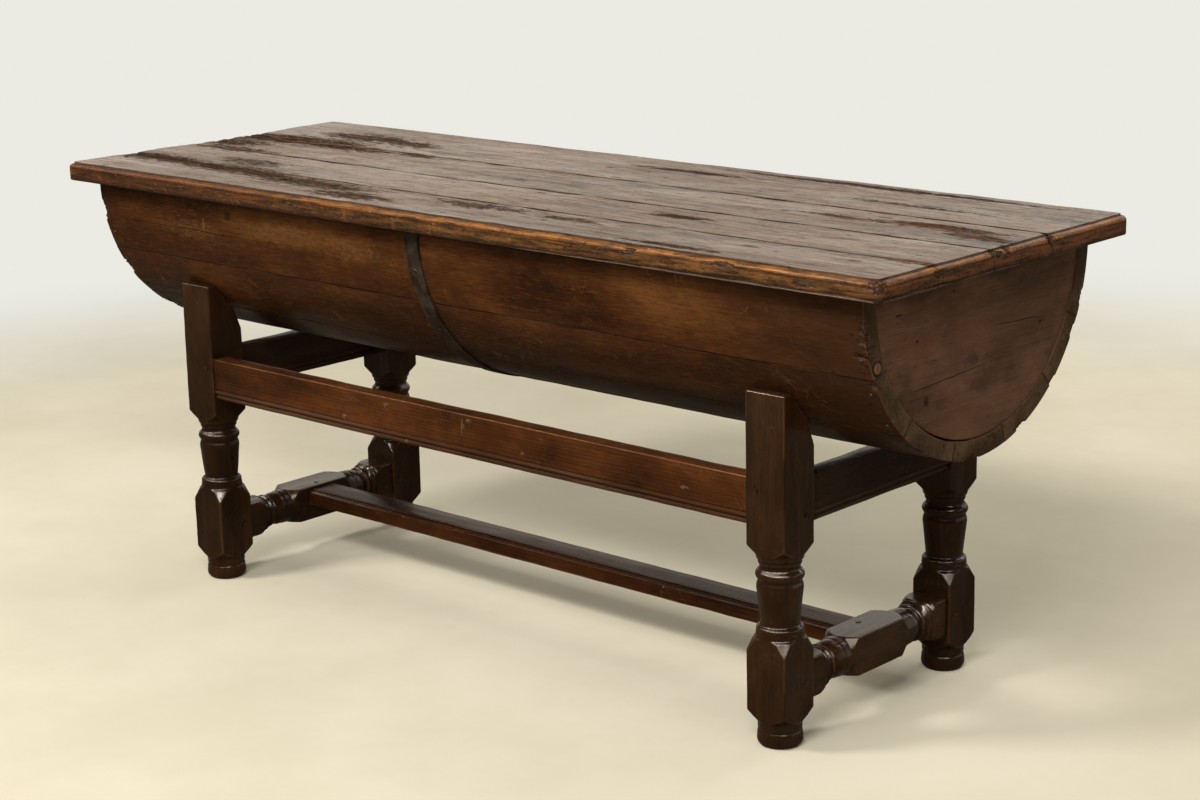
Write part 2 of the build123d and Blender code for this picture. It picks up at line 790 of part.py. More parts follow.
def make_batten_nails():
    """The nails that hold the battens to the planks, heads downwards."""
    planes = []
    for batten_x in batten_places().values():
        for _, start, end in plank_spans():
            planes += batten_nail_planes(batten_x, start, end)
    return nails(planes, batten_nail_length)


# ---- Build every piece -----------------------------------------------------------------------

os.makedirs("parts", exist_ok=True)

for depth, side_y in DEPTHS.items():
    rail_planes = [long_rail_peg_plane(side_x, side_y) for side_x in SIDES.values()]
    save(make_rail((0, side_y), rail_face_y, 2 * leg_inner_x, rail_planes), f"rail_{depth}")
    for side, side_x in SIDES.items():
        save(make_leg(side_x, side_y), f"leg_{depth}_{side}")
for side, side_x in SIDES.items():
    rail_planes = [end_rail_peg_plane(side_x, side_y) for side_y in DEPTHS.values()]
    save(make_rail((side_x, 0), rail_face_x, 2 * leg_inner_y, rail_planes), f"rail_{side}")
    save(make_end_stretcher(side_x), f"end_stretcher_{side}")
save(make_centre_stretcher(), "centre_stretcher")
save(make_rail_pegs(), "rail_pegs")
save(make_stretcher_pegs(), "stretcher_pegs")

for stave_name, stave_start, stave_end in stave_spans():
    save(make_stave(stave_start, stave_end), stave_name)
save(make_end_board_nails(), "end_board_nails")
save(make_iron_strap(), "iron_strap")
save(nails(all_strap_nail_planes(), nail_length), "strap_nails")
trough_leaf_planes, lid_leaf_planes = [], []
for side, side_x in SIDES.items():
    save(make_end_board(side_x), f"end_board_{side}")
    save(make_trough_leaf(side_x), f"hinge_trough_leaf_{side}")
    save(make_lid_leaf(side_x), f"hinge_lid_leaf_{side}")
    save(make_hinge_pin(side_x), f"hinge_pin_{side}")
    trough_leaf_planes += trough_leaf_nail_planes(side_x)
    lid_leaf_planes += lid_leaf_nail_planes(side_x)
save(nails(trough_leaf_planes, nail_length), "hinge_trough_nails")
save(nails(lid_leaf_planes, nail_length), "hinge_lid_nails")

lid_blank = make_lid_blank()
for plank_name, plank_start, plank_end in plank_spans():
    save(make_plank(lid_blank, plank_start, plank_end), plank_name)
for batten_name, batten_x in batten_places().items():
    save(make_batten(batten_x), batten_name)
save(make_batten_nails(), "batten_nails")
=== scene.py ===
import math
from types import SimpleNamespace

import bpy
import numpy as np
from mathutils import Matrix, Vector, noise


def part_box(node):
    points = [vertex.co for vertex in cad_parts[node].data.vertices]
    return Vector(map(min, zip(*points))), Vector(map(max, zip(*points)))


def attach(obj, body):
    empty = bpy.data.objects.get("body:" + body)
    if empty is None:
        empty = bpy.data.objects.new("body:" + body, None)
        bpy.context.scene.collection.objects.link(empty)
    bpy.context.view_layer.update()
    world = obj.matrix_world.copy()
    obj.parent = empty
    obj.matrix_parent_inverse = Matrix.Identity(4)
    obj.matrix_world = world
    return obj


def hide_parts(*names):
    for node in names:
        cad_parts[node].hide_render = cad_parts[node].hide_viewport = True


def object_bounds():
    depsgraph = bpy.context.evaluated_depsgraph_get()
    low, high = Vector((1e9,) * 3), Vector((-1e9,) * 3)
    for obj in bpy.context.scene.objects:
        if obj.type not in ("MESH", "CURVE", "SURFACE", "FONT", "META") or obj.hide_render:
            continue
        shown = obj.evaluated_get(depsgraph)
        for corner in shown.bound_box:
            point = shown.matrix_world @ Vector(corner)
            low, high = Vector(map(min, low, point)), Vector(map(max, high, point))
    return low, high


# Looks for the dough box: a half-round coopered trough in a turned stand, under a plank lid.
# Everything is in metres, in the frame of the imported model. +X runs along the box to the right,
# -Y is its front and +Z is up.

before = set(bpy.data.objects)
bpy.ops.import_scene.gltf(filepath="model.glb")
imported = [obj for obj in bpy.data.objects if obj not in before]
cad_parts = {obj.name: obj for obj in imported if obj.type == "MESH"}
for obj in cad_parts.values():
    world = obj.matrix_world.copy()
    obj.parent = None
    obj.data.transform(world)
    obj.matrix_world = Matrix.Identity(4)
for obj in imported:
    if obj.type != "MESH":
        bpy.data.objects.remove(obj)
cad_low, cad_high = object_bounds()

# ---- Places taken from the frame -------------------------------------------------------------

LID_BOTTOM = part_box("lid_plank_front")[0].z
LID_TOP = cad_high.z
LID_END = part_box("lid_plank_front")[1].x
LID_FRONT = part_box("lid_plank_front")[0].y
LID_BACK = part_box("lid_plank_rear")[1].y
RIM_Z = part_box("stave_front_rim")[1].z
TROUGH_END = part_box("stave_bottom")[1].x
TROUGH_RADIUS = RIM_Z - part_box("stave_bottom")[0].z
STAVE_THICKNESS = 0.029
BORE_RADIUS = TROUGH_RADIUS - STAVE_THICKNESS
LEG_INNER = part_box("leg_rear_left")[0].y
RIM_SEAM, SIDE_SEAM, BELLY_SEAM = math.radians(64.5), math.radians(41.0), math.radians(41.0 / 3)

# Depths and widths of the lid's moulding, from its rim
LID_STEP, LID_QUIRK, LID_OVOLO = 0.003, 0.009, 0.008

# The plug in the front rim stave's right end
PLUG_PLACE = (TROUGH_END + 0.001, -0.2530, 0.6100)

ORIGIN = (0.0, 0.0, 0.0)
GRAIN_ALONG_X = ORIGIN
GRAIN_ALONG_Y = (0.0, 0.0, -math.pi / 2)
GRAIN_ALONG_Z = (0.0, math.pi / 2, 0.0)


def round_place(x, angle):
    """A place on the trough's round, by its angle from straight down. The front is negative."""
    turn = math.radians(angle)
    return x, TROUGH_RADIUS * math.sin(turn), RIM_Z - TROUGH_RADIUS * math.cos(turn)


# ---- Mesh helpers ----------------------------------------------------------------------------

MERGE = 0.00001
FLAT = math.radians(0.35)
SHARP = math.radians(35)


def pick(piece):
    """Select one object and nothing else."""
    bpy.ops.object.select_all(action="DESELECT")
    piece.select_set(True)
    bpy.context.view_layer.objects.active = piece


def edit(action="SELECT"):
    """Enter edit mode with everything selected, or nothing."""
    bpy.ops.object.mode_set(mode="EDIT")
    bpy.ops.mesh.select_all(action=action)


def leave_edit():
    """Leave edit mode."""
    bpy.ops.object.mode_set(mode="OBJECT")


def apply_modifier(piece, kind, name, **settings):
    """Add a modifier with these settings and apply it."""
    made = piece.modifiers.new(name, kind)
    for key, value in settings.items():
        setattr(made, key, value)
    pick(piece)
    bpy.ops.object.modifier_apply(modifier=name)


def ease_arrises(piece, width, segments):
    """Bevel a piece's sharp edges."""
    apply_modifier(piece, "BEVEL", "Arris", width=width, segments=segments, limit_method="ANGLE",
                   angle_limit=SHARP)


def read_rows(parts, name):
    """A vector of each vertex or face, as rows."""
    values = np.empty(len(parts) * 3, np.float32)
    parts.foreach_get(name, values)
    return values.reshape(-1, 3).astype(float)


def places_of(piece):
    """The places of a piece's vertices."""
    return read_rows(piece.data.vertices, "co")


def write_places(piece, places):
    """Move the vertices to these places."""
    piece.data.vertices.foreach_set("co", places.astype(np.float32).ravel())
    piece.data.update()


def write_mask(mesh, name, values):
    """Keep a number for each vertex, for the finishes to read."""
    layer = mesh.attributes.get(name) or mesh.attributes.new(name, "FLOAT", "POINT")
    layer.data.foreach_set("value", values.astype(np.float32))


def read_mask(mesh, name):
    """The numbers that write_mask kept, or zeros."""
    values = np.zeros(len(mesh.vertices), np.float32)
    layer = mesh.attributes.get(name)
    if layer:
        layer.data.foreach_get("value", values)
    return values.astype(float)


def merged_copy(node):
    """A copy of a node with its loose triangles joined."""
    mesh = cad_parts[node].data.copy()
    mesh.materials.clear()
    piece = bpy.data.objects.new("worn_" + node, mesh)
    bpy.context.scene.collection.objects.link(piece)
    pick(piece)
    edit()
    bpy.ops.mesh.remove_doubles(threshold=MERGE)
    leave_edit()
    return piece


def worn_copy(node, voxel):
    """A turned node with its edges worn round, as a closed skin of small faces."""
    piece = merged_copy(node)
    apply_modifier(piece, "REMESH", "Skin", mode="VOXEL", voxel_size=voxel)
    apply_modifier(piece, "SMOOTH", "Wear", factor=0.5, iterations=2)
    return piece


def planed_copy(node, steps, arris):
    """A board with its arrises eased, divided into a grid of small faces."""
    piece = merged_copy(node)
    edit()
    bpy.ops.mesh.dissolve_limited(angle_limit=FLAT)
    leave_edit()
    ease_arrises(piece, arris, 2)
    low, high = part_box(node)
    bpy.ops.object.mode_set(mode="EDIT")
    for axis, step in enumerate(steps):
        for place in np.arange(low[axis] + step, high[axis] - step / 4, step):
            middle, across = [0.0, 0.0, 0.0], [0.0, 0.0, 0.0]
            middle[axis], across[axis] = place, 1.0
            bpy.ops.mesh.select_all(action="SELECT")
            bpy.ops.mesh.bisect(plane_co=middle, plane_no=across)
    leave_edit()
    return piece


def refine(piece, chosen, cuts):
    """Divide the chosen faces, so that finer shapes can be cut into them."""
    pick(piece)
    bpy.context.tool_settings.mesh_select_mode = (False, False, True)
    edit("DESELECT")
    leave_edit()
    piece.data.polygons.foreach_set("select", chosen)
    bpy.ops.object.mode_set(mode="EDIT")
    bpy.ops.mesh.subdivide(number_cuts=cuts)
    leave_edit()


def waves(places, length, seed):
    """Smooth unevenness between -1 and 1, of about this wavelength."""
    chance = np.random.default_rng(seed)
    total = np.zeros(len(places))
    for _ in range(7):
        heading = chance.normal(size=3)
        heading *= 2 * math.pi / (length * chance.uniform(0.6, 1.6) * np.linalg.norm(heading))
        total += np.sin(places @ heading + chance.uniform(0, 2 * math.pi))
    return np.clip(total / 3.5, -1, 1)


def uneven(piece, inward, seed, depth, length):
    """Take a little off a hand-planed face, more in some places than in others."""
    places = places_of(piece)
    cut = depth * (0.5 + 0.5 * waves(places, length, seed))
    write_places(piece, places + inward(places) * cut[:, None])


def in_reach(points, middle, half, grow=1.0, margin=0.0):
    """How far each point lies from the middle of an oval, 1 at its edge."""
    return (((points - np.array(middle)) / (np.array(half) * grow + margin)) ** 2).sum(axis=1)


def carve(piece, hollows, inward, grain_length, grain_width):
    """Eat ragged hollows into a piece. Each is its middle, its half sizes and its depth."""
    places = places_of(piece)
    sink = inward(places)
    worn = read_mask(piece.data, "worn")
    scale = np.array((1 / grain_length, 1 / grain_width, 1 / grain_width))
    for middle, half, depth in hollows:
        reach = in_reach(places, middle, half)
        for index in np.flatnonzero(reach < 1.4):
            spot = Vector(places[index] * scale)
            rough = noise.noise(spot) + 0.6 * noise.noise(spot * 2.3)
            bite = min(1.0, max(0.0, 1.5 * (1 - reach[index]) + 1.5 * rough))
            worn[index] = max(worn[index], min(1.0, 1.4 * bite))
            places[index] += sink[index] * depth * bite * (0.65 + 0.35 * noise.noise(spot * 5.1))
    write_places(piece, places)
    write_mask(piece.data, "worn", worn)


def share_of(values, start, length):
    """How far values have come along a stretch, between 0 and 1."""
    return np.clip((values - start) / length, 0, 1)


def middle_and_half(node):
    """The middle of a node's box, and half its sizes."""
    low, high = (np.array(corner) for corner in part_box(node))
    return (low + high) / 2, (high - low) / 2


def down_from_top(places):
    """Straight down, for what lies in the lid's top, and nothing below it."""
    return np.array((0.0, 0.0, -1.0)) * share_of(places[:, 2], LID_TOP - 0.008, 0.004)[:, None]


def from_trough_axis(places):
    """Where places lie across the trough's axis, and how far from it."""
    flat = places * (0, 1, 1) - (0, 0, RIM_Z)
    return flat, np.linalg.norm(flat, axis=1)


def into_stave(places):
    """Towards the middle of a stave's thickness, from either skin."""
    flat, radius = from_trough_axis(places)
    share = (BORE_RADIUS + STAVE_THICKNESS / 2 - radius) / (STAVE_THICKNESS / 2)
    return flat / radius[:, None] * share[:, None]


def into_stave_end(places):
    """Back from the end of a stave and in from its skins."""
    back = np.zeros_like(places)
    back[:, 0] = -0.7 * np.sign(places[:, 0])
    return 0.7 * into_stave(places) + back


def into_board(node):
    """Inwards from the long faces of a square board."""
    middle, half = middle_and_half(node)
    across = half < half.max()
    return lambda places: -np.sign(places - middle) * across * np.abs((places - middle) / half) ** 6


def into_board_face(node):
    """Inwards from the two flat faces of an end board."""
    middle, _ = middle_and_half(node)
    return lambda places: -np.sign(places - middle) * (1, 0, 0)


def into_turning(node, axis):
    """Towards the axis of a turned piece."""
    middle, _ = middle_and_half(node)

    def inward(places):
        away = places - middle
        away[:, axis] = 0.0
        return -away / np.maximum(np.linalg.norm(away, axis=1), 0.001)[:, None]
    return inward


def mark_edges(piece):
    """Note how far each vertex stands out on an edge, or lies in a groove."""
    mesh = piece.data
    places, normals = places_of(piece), read_rows(mesh.vertices, "normal")
    pairs = np.empty(len(mesh.edges) * 2, np.int32)
    mesh.edges.foreach_get("vertices", pairs)
    first, second = pairs.reshape(-1, 2).T
    step = places[second] - places[first]
    lean = ((normals[second] - normals[first]) * step).sum(axis=1)
    lean /= np.maximum((step ** 2).sum(axis=1), 1e-12)
    count = len(places)
    degree = np.maximum(np.bincount(first, minlength=count) + np.bincount(second, minlength=count), 1)
    bend = (np.bincount(first, lean, count) + np.bincount(second, lean, count)) / degree
    for _ in range(2):
        around = np.bincount(first, bend[second], count) + np.bincount(second, bend[first], count)
        bend = 0.5 * bend + 0.5 * around / degree
    # Bends are per metre: a flat face has little, and a sharp edge has the most
    least_edge, least_groove, sharpest = 22, 12, 180.0
    write_mask(mesh, "edge", np.clip((bend - least_edge) / sharpest, 0, 1))
    write_mask(mesh, "groove", np.clip((-bend - least_groove) / sharpest, 0, 1))


# ---- Shader helpers --------------------------------------------------------------------------

class Wire:
    """A socket that gives a value. A sum written with it becomes a node in its tree."""

    def __init__(self, socket):
        self.socket = socket
        self.tree = socket.id_data

    def __add__(self, other):
        return reckon("ADD", self, other)

    def __sub__(self, other):
        return reckon("SUBTRACT", self, other)

    def __rsub__(self, other):
        return reckon("SUBTRACT", other, self)

    def __mul__(self, other):
        return reckon("MULTIPLY", self, other)

    def __truediv__(self, other):
        return reckon("DIVIDE", self, other)

    def __abs__(self):
        return reckon("ABSOLUTE", self)

    def length(self):
        """How long the vector is."""
        return reckon("LENGTH", self, ORIGIN)

    def parts(self):
        """The three parts of a vector or a colour."""
        split = new_node([self], "SeparateColor" if self.socket.type == "RGBA" else "SeparateXYZ")
        feed(split.inputs[0], self)
        return [Wire(part) for part in split.outputs]

    def held(self):
        """The same sum, kept between 0 and 1."""
        self.socket.node.use_clamp = True
        return self


def new_node(values, kind):
    """A new node in the tree of the first wire among these values."""
    tree = next(value.tree for value in values if isinstance(value, Wire))
    return tree.nodes.new("ShaderNode" + kind)


def feed(socket, value):
    """Link a socket to a wire, or set its value. A colour's alpha may be left out."""
    if isinstance(value, Wire):
        value.tree.links.new(value.socket, socket)
    elif socket.type == "RGBA" and len(value) == 3:
        socket.default_value = (*value, 1.0)
    else:
        socket.default_value = value


def feed_all(sockets, **values):
    """Feed the sockets of these names."""
    for name, value in values.items():
        feed(sockets[name.replace("_", " ")], value)


def reckon(operation, first, second=0.0):
    """One sum, on numbers or on vectors."""
    wire = first if isinstance(first, Wire) else second
    made = new_node([wire], "VectorMath" if wire.socket.type == "VECTOR" else "Math")
    made.operation = operation
    feed(made.inputs[0], first)
    feed(made.inputs[1], second)
    return Wire(made.outputs["Value" if operation in ("LENGTH", "DOT_PRODUCT") else 0])


def lesser(first, second):
    """The smaller of two numbers, or of each part of two vectors."""
    return reckon("MINIMUM", first, second)


def greater(first, second):
    """The larger of two numbers."""
    return reckon("MAXIMUM", first, second)


def second_least(first, second, third):
    """The middle one of three numbers."""
    return greater(lesser(first, second), lesser(greater(first, second), third))


def fade(value, low, high, start=0.0, end=1.0):
    """Bring a value from one range to another, smoothly and no further."""
    made = new_node([value], "MapRange")
    made.interpolation_type = "SMOOTHSTEP"
    for socket, given in zip(made.inputs, (value, low, high, start, end)):
        feed(socket, given)
    return Wire(made.outputs[0])


def fall(value, low, high):
    """1 below this range and 0 above it."""
    return fade(value, low, high, 1.0, 0.0)


def band_of(value, low, high):
    """1 between two values, with soft ends."""
    soft = 0.25 * (high - low)
    return fade(value, low - soft, low + soft) * fall(value, high - soft, high + soft)


def summed(start, *terms):
    """A start plus each value's difference from its middle, times its weight."""
    total = start
    for value, middle, weight in terms:
        total = (value - middle) * weight + total
    return total


def blend(amount, first, second):
    """Lay the second colour over the first."""
    made = new_node((amount, first, second), "Mix")
    made.data_type = "RGBA"
    sockets = [socket for socket in made.inputs if socket.type == "RGBA"]
    for socket, value in zip((made.inputs["Factor"], *sockets), (amount, first, second)):
        feed(socket, value)
    return Wire(next(socket for socket in made.outputs if socket.type == "RGBA"))


def cloud(vector, scale, detail=3.0, roughness=0.5, distortion=0.0):
    """Noise between 0 and 1. More scales than one are along the grain, and then across it."""
    if isinstance(scale, tuple):
        vector = vector * (scale[0], scale[1], scale[-1])
        scale = 1.0
    made = new_node([vector], "TexNoise")
    feed_all(made.inputs, Vector=vector, Scale=scale, Detail=detail, Roughness=roughness,
             Distortion=distortion)
    return Wire(made.outputs["Fac"])


def cells(vector, scale):
    """How far a place is from the middle of its cell, and the cell's own chance colour."""
    made = new_node([vector], "TexVoronoi")
    feed_all(made.inputs, Vector=vector, Scale=scale)
    return Wire(made.outputs["Distance"]), Wire(made.outputs["Color"])


def ramp(value, colours):
    """Three colours, from where the value is 0 to where it is 1."""
    made = new_node([value], "ValToRGB")
    feed(made.inputs[0], value)
    band = made.color_ramp
    band.elements.new(1.0)
    for element, place, colour in zip(band.elements, (0.0, 0.5, 1.0), colours):
        element.position = place
        element.color = (*colour, 1.0)
    return Wire(made.outputs["Color"])


def kept_mask(here, name):
    """A mask that write_mask kept on the piece."""
    made = new_node([here], "Attribute")
    made.attribute_name = name
    return Wire(made.outputs["Fac"])


def shared_effect(name, gives, **takes):
    """Make a node group from a function of its inputs. What is returned places it in a finish."""
    def build(shape):
        group = bpy.data.node_groups.new(name, "ShaderNodeTree")
        labels = {key: key.replace("_", " ").capitalize() for key in (*takes, *gives)}
        for key, value in takes.items():
            kind = "NodeSocketFloat" if isinstance(value, float) else "NodeSocketVector"
            socket = group.interface.new_socket(name=labels[key], in_out="INPUT", socket_type=kind)
            socket.default_value = value
        for key in gives:
            group.interface.new_socket(name=labels[key], in_out="OUTPUT", socket_type="NodeSocketFloat")
        given = group.nodes.new("NodeGroupInput").outputs
        wanted = group.nodes.new("NodeGroupOutput").inputs
        results = shape(*(Wire(given[labels[key]]) for key in takes))
        for key, result in zip(gives, results):
            feed(wanted[labels[key]], result)

        def placed_effect(**values):
            made = new_node(values.values(), "Group")
            made.node_tree = group
            for key, value in values.items():
                feed(made.inputs[labels[key]], value)
            return SimpleNamespace(**{key: Wire(made.outputs[labels[key]]) for key in gives})
        return placed_effect
    return build


# ---- Shared effects --------------------------------------------------------------------------

@shared_effect("Timber grain", ("rings", "streaks", "fibres", "pores"),
               vector=ORIGIN, ring_width=0.006, wander=0.03)
def timber_grain(vector, ring_width, wander):
    """Growth rings, streaks, fibres and pores of timber whose grain runs along the vector's X."""
    slow = cloud(vector, (1.3, 5.0), 2.0)
    quick = cloud(vector, (5.0, 40.0))
    from_pith = (vector * (0.0, 1.0, 1.0)).length()
    radius = from_pith + ((slow - 0.5) * wander + (quick - 0.5) * (wander * 0.12))
    turn = reckon("FRACT", radius / ring_width)
    rings = greater(reckon("POWER", turn, 2.2), fall(turn, 0.0, 0.12))
    streaks = fade(cloud(vector, (1.8, 38.0), 6.0, 0.72), 0.3, 0.7)
    fibres = fade(cloud(vector, (11.0, 300.0), 4.0, 0.62), 0.32, 0.68)
    pores = fade(cloud(vector, (40.0, 820.0), 2.0), 0.58, 0.7)
    return rings, streaks, fibres, pores


@shared_effect("Old surface", ("rubbed", "grime", "dents", "stains", "blotches", "pits", "flecks",
                               "scratches"), vector=ORIGIN, edge=0.0, groove=0.0, worn=0.0)
def old_surface(vector, edge, groove, worn):
    """Where an old surface is rubbed bright, has dark grime, dents, stains and pale flecks."""
    broken = cloud(vector, (40.0, 90.0), 4.0, 0.65)
    patchy = cloud(vector, 7.0, 3.0, 0.6)
    rub = edge * fade(patchy, 0.36, 0.62, 0.15, 1.0) * fade(broken, 0.3, 0.62, 0.35, 1.3)
    grime = lesser(groove * 1.6, 1.0)
    from_dent, _ = cells(vector, 55.0)
    dents = fall(from_dent, 0.05, 0.2) * fade(cloud(vector, 17.0, 2.0), 0.56, 0.68)
    stains = fade(cloud(vector, (2.2, 8.0), 5.0, 0.62), 0.36, 0.66)
    blotches = fade(cloud(vector, (4.0, 6.0), 5.0, 0.7), 0.34, 0.68)
    pits = fade(cloud(vector, (55.0, 420.0), 4.0, 0.75), 0.44, 0.56) * worn
    from_fleck, own_colour = cells(vector, 140.0)
    dots = fall(from_fleck, 0.10, 0.22) * fade(own_colour.parts()[0], 0.962, 0.966)
    flecks = dots * fade(cloud(vector, 5.0, 2.0), 0.48, 0.6)
    scribed = abs(cloud(vector, (5.0, 16.0), 1.0, 0.5, 1.5) - 0.5)
    fine = abs(cloud(vector, (26.0, 19.0), 1.0, 0.5, 0.8) - 0.5)
    lines = greater(fall(scribed, 0.001, 0.004), fall(fine, 0.002, 0.008))
    scratches = lines * fade(cloud(vector, 11.0), 0.52, 0.64)
    return fade(rub, 0.12, 0.8), grime, dents, stains, blotches, pits, flecks, scratches


@shared_effect("Board arris", ("edge",), vector=ORIGIN, low=ORIGIN, high=ORIGIN, width=0.003)
def board_arris(vector, low, high, width):
    """The arrises of a square board between two corners."""
    inside = lesser(vector - low, high - vector)
    return [fall(second_least(*inside.parts()), 0.0, width)]


@shared_effect("Stave arris", ("edge", "seam", "inside", "end"),
               vector=ORIGIN, middle=0.0, spread=0.2, width=0.003)
def stave_arris(vector, middle, spread, width):
    """A stave's arrises, seams, inner face and ends, by its middle angle and half its spread."""
    from_axis = vector - (0.0, 0.0, RIM_Z)
    x, y, z = from_axis.parts()
    angle = reckon("ARCTAN2", y, z * -1.0)
    radius = (from_axis * (0.0, 1.0, 1.0)).length()
    from_seam = (spread - abs(angle - middle)) * TROUGH_RADIUS
    from_skin = lesser(TROUGH_RADIUS - radius, radius - BORE_RADIUS)
    from_end = TROUGH_END - abs(x)
    edge = fall(second_least(from_seam, from_skin, from_end), 0.0, width)
    inside = fall(radius, BORE_RADIUS + 0.001, BORE_RADIUS + 0.003)
    return edge, fall(from_seam, 0.0006, 0.0028), inside, fall(from_end, 0.0008, 0.0025)


@shared_effect("Spot", ("mask",), vector=ORIGIN, middle=ORIGIN, size=(1.0, 1.0, 1.0))
def spot_effect(vector, middle, size):
    """A soft ragged spot round one place, 1 in its middle."""
    ragged = (cloud(vector, (60.0, 170.0), 4.0, 0.65) - 0.5) * 1.8
    far = ((vector - middle) / size).length()
    return [fall(far + ragged, 0.45, 1.1)]


@shared_effect("Crack", ("mask",), vector=ORIGIN, start=0.0, finish=1.0, place=0.0,
               across=(0.0, 0.0, 1.0), width=0.0008)
def crack_effect(vector, start, finish, place, across, width):
    """A thin dark split along X, between two ends, at one place across."""
    x, _, _ = vector.parts()
    bend = (cloud(vector, (9.0, 0.0)) - 0.5) * 0.010
    away = abs(reckon("DOT_PRODUCT", vector, across) + bend - place)
    inside = lesser(x - start, finish - x)
    thin = width * fade(inside, 0.0, 0.05, 0.05, 1.0)
    return [fall(away, thin * 0.4, thin) * fade(inside, 0.0, 0.01)]


# ---- Finishes --------------------------------------------------------------------------------

SOOT = (0.008, 0.005, 0.003)
TAR = (0.010, 0.005, 0.003)
PITCH = (0.012, 0.007, 0.005)
BOG = (0.014, 0.008, 0.005)
SMOKE = (0.020, 0.012, 0.008)
CHAR = (0.020, 0.010, 0.006)


class Skin(SimpleNamespace):
    """A timber's colour, roughness, height and polish, while layers are laid over them."""

    def lay(self, mask, over):
        """Lay a colour over the timber where the mask is."""
        self.colour = blend(mask, self.colour, over)

    def cut(self, mask, depth):
        """Sink the surface where the mask is."""
        self.height = self.height - mask * depth

    def roughen(self, mask, amount):
        """Make the surface rougher where the mask is."""
        self.roughness = (self.roughness + mask * amount).held()

    def unwax(self, mask, tone, roughness):
        """Show timber that was never waxed where the mask is."""
        dark = (0.105 * tone, 0.062 * tone, 0.036 * tone)
        bare = blend(self.grain.streaks, dark, (0.225 * tone, 0.150 * tone, 0.092 * tone))
        for shade in (self.grain.rings * 0.25, self.grain.pores * 0.5, self.age.stains * 0.35):
            bare = blend(shade, bare, dark)
        self.lay(mask, blend(self.age.flecks * 0.6, bare, (0.40, 0.33, 0.25)))
        self.roughen(mask, roughness)
        self.polish = self.polish * (1.0 - mask)

    def spot(self, middle, size):
        """The mask of a soft ragged spot."""
        return spot_effect(vector=self.here, middle=middle, size=size).mask


def start_finish(name, roughness, coat, coat_roughness, specular=0.15):
    """A new material with its shader's inputs and object coordinates."""
    material = bpy.data.materials.new(name)
    material.use_nodes = True
    shader = material.node_tree.nodes["Principled BSDF"].inputs
    feed_all(shader, Roughness=roughness, Coat_Weight=coat, Coat_Roughness=coat_roughness,
             Specular_IOR_Level=specular, Specular_Tint=(1.0, 0.80, 0.62))
    here = Wire(material.node_tree.nodes.new("ShaderNodeTexCoord").outputs["Object"])
    return material, shader, here


def placed(here, turn, shift):
    """Coordinates with the grain along X, moved so that each board is cut from its own place."""
    made = new_node([here], "Mapping")
    feed_all(made.inputs, Vector=here, Rotation=turn, Location=shift)
    return Wire(made.outputs["Vector"])


def raise_surface(shader, height, distance, strength=1.0):
    """Relief too fine for the mesh."""
    made = new_node([height], "Bump")
    feed_all(made.inputs, Distance=distance, Strength=strength, Height=height)
    feed(shader["Normal"], Wire(made.outputs["Normal"]))


def no_masks(here):
    """The masks of a small piece without wear."""
    return 0.0, 0.0, 0.0


def turned_masks(here):
    """Masks of a turned piece, kept on its mesh."""
    return kept_mask(here, "edge"), kept_mask(here, "groove"), 0.0


def board_masks(node, width):
    """Masks of a board: its arrises by place, no grooves, and its worm-eaten parts."""
    low, high = (tuple(corner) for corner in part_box(node))
    return lambda here: (board_arris(vector=here, low=low, high=high, width=width).edge, 0.0,
                         kept_mask(here, "worn"))


def stave_masks(middle, spread):
    """A stave's masks, by its middle angle and half its spread."""
    return lambda here: (stave_arris(vector=here, middle=middle, spread=spread, width=0.004).edge, 0.0,
                         kept_mask(here, "worn"))


